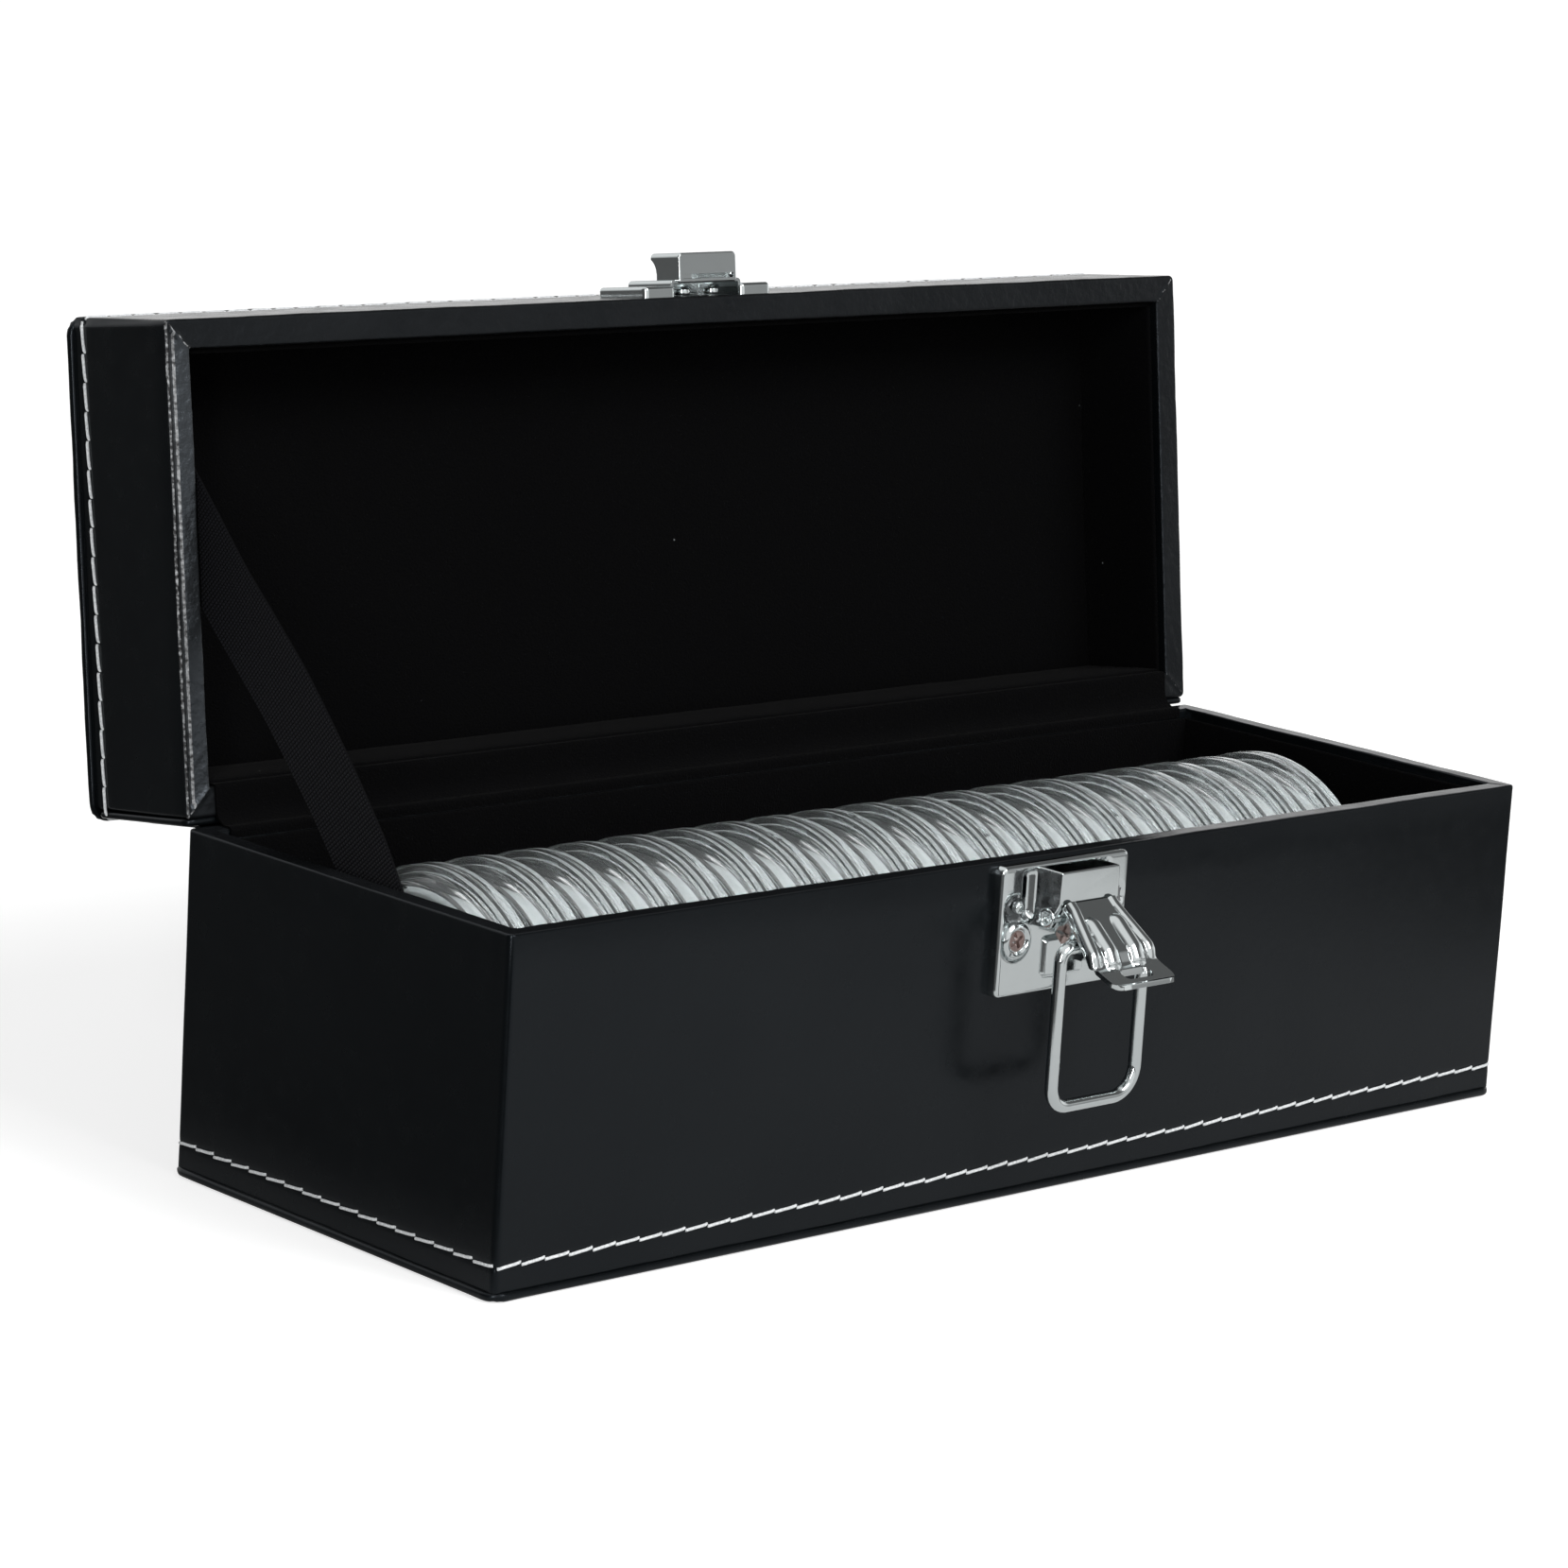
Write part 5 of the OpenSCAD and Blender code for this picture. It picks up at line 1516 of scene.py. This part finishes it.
for _ in range(3):
    side_line = [side_line[0]] + [(a + 2 * b + c) / 4 for a, b, c in
                                  zip(side_line, side_line[1:], side_line[2:])] + [side_line[-1]]
run = [0.0]
for a, b in zip(side_line, side_line[1:]):
    run.append(run[-1] + (b - a).length)
KNEE_AT, FOOT_AT, TIP_AT = run[ARM_CUTS], run[ARM_CUTS + KNEE_CUTS], run[-1]
print("lever is", round(TIP_AT, 1), "mm from heel to tip")

# %% [markdown]
# ### Its skin
# The skin is a grid of small squares laid along that line. Across it runs a flat, then a quarter
# turn at the edge and a short flange. Two beads are pressed up by lifting the points inside two
# long ovals, and the lip's end is drawn in to round corners.

# %% Press the lever's skin
def bead_height(x, s):
    """How far the skin is lifted by the two beads, in mm."""
    along = max(0.50 * KNEE_AT - s, s - FOOT_AT + 0.7, 0)
    off = math.hypot(abs(x) - 2.75, along) / 1.45
    return 0.85 * (1 - off * off) ** 0.75 if off < 1 else 0

def skin_place(u, v):
    """A point of the skin: across it by u and from heel to tip by v, both from 0 to 1."""
    i = min(int(v * (len(side_line) - 1)), len(side_line) - 2)
    share = v * (len(side_line) - 1) - i
    center = side_line[i].lerp(side_line[i + 1], share)
    direction = (side_line[i + 1] - side_line[i]).normalized()
    s = run[i] + (run[i + 1] - run[i]) * share
    flange = 0.8 * (1 - soft_step(s, KNEE_AT, FOOT_AT + 0.6))
    half = NECK_HALF + (LIP_HALF - NECK_HALF) * min(1, max(0, (s - 1.5) / (KNEE_AT - 1.5)))
    left = TIP_AT - s
    if left < LIP_R:
        half -= LIP_R - math.sqrt(max(LIP_R ** 2 - (LIP_R - left) ** 2, 0))
    flat, quarter = half - EDGE_R, EDGE_R * math.pi / 2
    across = abs(u - 0.5) * 2 * (flat + quarter + flange)
    if across < flat:
        x, down = across, 0
    elif across < flat + quarter:
        turn = (across - flat) / EDGE_R
        x, down = flat + EDGE_R * math.sin(turn), EDGE_R * (1 - math.cos(turn))
    else:
        x, down = half, EDGE_R + across - flat - quarter
    on_arm = 1 - soft_step(s, KNEE_AT + 0.6, FOOT_AT + 0.4)
    down *= soft_step(flange, 0, 0.3) if flange < 0.3 else 1
    rail = 0.42 * soft_step(x, flat - 1.0, flat - 0.55) * on_arm
    curl = 0.55 * max(0, 1 - left / 1.3) ** 2
    point = center + Vector((-direction.y, direction.x)) * (bead_height(x, s) + rail + curl - down)
    return at(math.copysign(x, u - 0.5), *point)

# %% [markdown]
# ### Its slot
# The grid is thickened to the sheet, and an oval block, tilted like the lip, cuts the finger slot
# out of it.

# %% Cut the slot in the lip
lever = lay_strip("latch_lever_arm", 60, len(side_line) - 1, skin_place, LEVER_T)
lip_center = (bend[2] + bend[3]) / 2
lip_turn = math.atan2(bend[3].y - bend[2].y, bend[3].x - bend[2].x)
slot = edit(add_block("cutter", (-3.1, -0.9, -3), (3.1, 0.9, 3)))
round_edges(slot, upright, 0.88, 6)
deselect()
slot.data.transform(Matrix.Translation(at(0, *lip_center) * MM) @ Matrix.Rotation(lip_turn, 4, "X"))
cut_out(lever, slot)

# %% [markdown]
# ### Its ears
# Under each edge an ear carries the pin and the wire. It is a block trimmed by three planes,
# joined with a disc round each eye, and bored for the wire.

# %% Add the ears
EAR_R, EYE_R = 1.9, 1.12

def make_ear(side):
    """A flange under the skin's edge that holds the pin and the wire."""
    x0, x1 = sorted((side * 4.5, side * 5.35))
    ear = front_block("ear", x0, x1, PIVOT[0] - EAR_R, bend[1].x, bend[1].y - EAR_R, bend[0].y + 0.2)
    slope = bend[1] - bend[0]
    chop(ear, tuple(bend[0]), (-slope.y, slope.x))
    chop(ear, (PIVOT[0], PIVOT[1] - EAR_R), (BAIL_EYE[1], -BAIL_EYE[0]))
    chop(ear, (BAIL_OUT + EAR_R, BAIL_Z), (1, -0.55))
    for out, z in (PIVOT, (BAIL_OUT, BAIL_Z)):
        cut_out(ear, pin_along_x("eye", x0, x1, out, z, EAR_R, 32), "UNION")
    hole = pin_along_x("cutter", -9, 9, BAIL_OUT, BAIL_Z, EYE_R, 32)
    return soften(cut_out(ear, hole), 0.12, 2, 50)

lever = join([soften(lever, 0.16, 3, 60), make_ear(-1), make_ear(1)], "latch_lever_arm")
complete(lever, chrome, "chrome", "lever", ["latch_lever"], angle=50)

# %% [markdown]
# ### The wire
# The bail is one bent wire. Its centre line is drawn as a curve with round corners, given the
# wire's thickness and made a mesh. Its two ends turn in to the lever's eyes.

# %% Bend the wire
def rounded_line(points, radii, count=10):
    """Corners of a path replaced by arcs of the given radii."""
    line = [points[0]]
    for i in range(1, len(points) - 1):
        corner = points[i]
        back, ahead = (points[i - 1] - corner).normalized(), (points[i + 1] - corner).normalized()
        reach = radii[i - 1] / math.tan(back.angle(ahead) / 2)
        center = corner + (back + ahead).normalized() * radii[i - 1] / math.sin(back.angle(ahead) / 2)
        a, b = corner + back * reach - center, corner + ahead * reach - center
        for k in range(count + 1):
            line.append(center + a.slerp(b, k / count).normalized() * radii[i - 1])
    return line + [points[-1]]

def make_wire(name, line, radius, sides=10):
    """A tube along a line, made from a curve, in mm."""
    curve = bpy.data.curves.new(name, "CURVE")
    curve.dimensions = "3D"
    curve.bevel_depth = radius * MM
    curve.bevel_resolution = sides
    curve.use_fill_caps = True
    spline = curve.splines.new("POLY")
    spline.points.add(len(line) - 1)
    for target, place in zip(spline.points, line):
        target.co = (*(place * MM), 1)
    obj = bpy.data.objects.new(name, curve)
    bpy.context.scene.collection.objects.link(obj)
    take(obj)
    bpy.ops.object.convert(target="MESH")
    return bpy.context.object

LEG_X, BAIL_LEN, WIRE_R, END_X = 9.25, 25.3, 1.05, 4.3
half_way = ((END_X, BAIL_Z), (LEG_X, BAIL_Z), (LEG_X, BAIL_Z - BAIL_LEN))
corners = [at(-x, BAIL_OUT, z) for x, z in half_way] + [at(x, BAIL_OUT, z) for x, z in half_way[::-1]]
bail = make_wire("latch_wire_bail", rounded_line(corners, (2.0, 3.4, 4.8, 2.0)), WIRE_R)
complete(bail, chrome, "chrome", "bail", ["latch_bail"], angle=50)

# %% [markdown]
# ## The catch on the lid
# The catch is an arch of sheet between two pans, with a hollow hook block on its middle for the
# wire. It is modelled on the shut lid and turned open with it. The two wings are pans like the
# plate of the latch, only smaller.

# %% Stamp the catch's wings
CATCH_Z = LID_RIM + 1.0
CATCH_TOP = CATCH_Z + 11.9
WING_IN, WING_OUT = 7.15, 13.95
wings = []
for side in (-1, 1):
    x0, x1 = sorted((side * WING_IN, side * WING_OUT))
    wing = make_pan("wing", x0, x1, CATCH_Z, CATCH_TOP, PLATE_OUT, 0.9, 0.6)
    wings.append(give_thickness(wing, 0.6))
print("wings of the catch:", len(wings))

# %% [markdown]
# ### The arch
# The arch is a block with rounded corners that is opened from behind, which leaves a bent sheet.

# %% Bend the arch
ARCH_HALF, ARCH_T = 7.75, 0.6
arch = edit(front_block("arch", -ARCH_HALF, ARCH_HALF, 0.02, 2.8, CATCH_Z + 0.6, CATCH_TOP - 0.6))
round_edges(arch, lambda e: upright(e) and middle(e).y < FRONT_Y - 1, 0.7, 4)
deselect()
under_arch = front_block("cutter", ARCH_T - ARCH_HALF, ARCH_HALF - ARCH_T, -0.5, 2.8 - ARCH_T,
                         CATCH_Z - 1, CATCH_TOP - 1.2)
cut_out(arch, under_arch)
print("arch has", len(arch.data.polygons), "faces")

# %% [markdown]
# ### The hook
# The hook is a block of its own. It is rounded first, like the bridge. Then a rod bores the
# hollow in which the wire lies when the case is shut, a block cuts the step behind it, and two
# more hollow the hook out from below.

# %% Shape the hook
hook = edit(front_block("hook", -6.35, 6.35, 2.3, 7.2, CATCH_Z, CATCH_Z + 7.2))
round_edges(hook, lambda e: upright(e) and middle(e).y < FRONT_Y - 5, 0.8, 5)
deselect()
soften(hook, 0.3, 3, 50)
hollow = pin_along_x("cutter", -9, 9, 3.8, CATCH_Z + 8.5, 2.8, 48)
cut_out(hook, hollow)
step_back = front_block("cutter", -9, 9, 0, 3.9, CATCH_Z + 5.65, CATCH_Z + 9)
cut_out(hook, step_back)
inside = front_block("cutter", -5.6, 5.6, 2.9, 6.4, CATCH_Z + 0.8, CATCH_Z + 5.2)
gap = front_block("cutter", -5.6, 5.6, 2.9, 3.7, CATCH_Z - 1, CATCH_Z + 1.2)
cut_out(cut_out(hook, inside), gap)
soften(hook, 0.14, 3, 60)
catch = join([*wings, soften(arch, 0.12, 2, 50), hook], "catch_bracket")
complete(open_lid(catch), chrome, "chrome", "lid", ["catch_plate"], angle=40)

# %% [markdown]
# ### Two rivets
# Two round heads hold the catch. They lie deep under the arch, so a short cylinder with a dip is
# enough for each.

# %% Rivet the catch
def catch_rivet(side):
    """A round head with a shallow dip."""
    head = edit(pin_off_front("rivet", side * 3.2, CATCH_Z + 3, 0.3, 1.25, 1.3, 32))
    choose(head, "FACE", lambda f: f.normal.y < -0.9)
    terraces((0.6, -0.25))
    deselect()
    return soften(head, 0.18, 3, 50)

catch_heads = join([catch_rivet(-1), catch_rivet(1)], "catch_rivet_heads")
complete(open_lid(catch_heads), chrome, "chrome", "lid", ["catch_rivets"], angle=50)
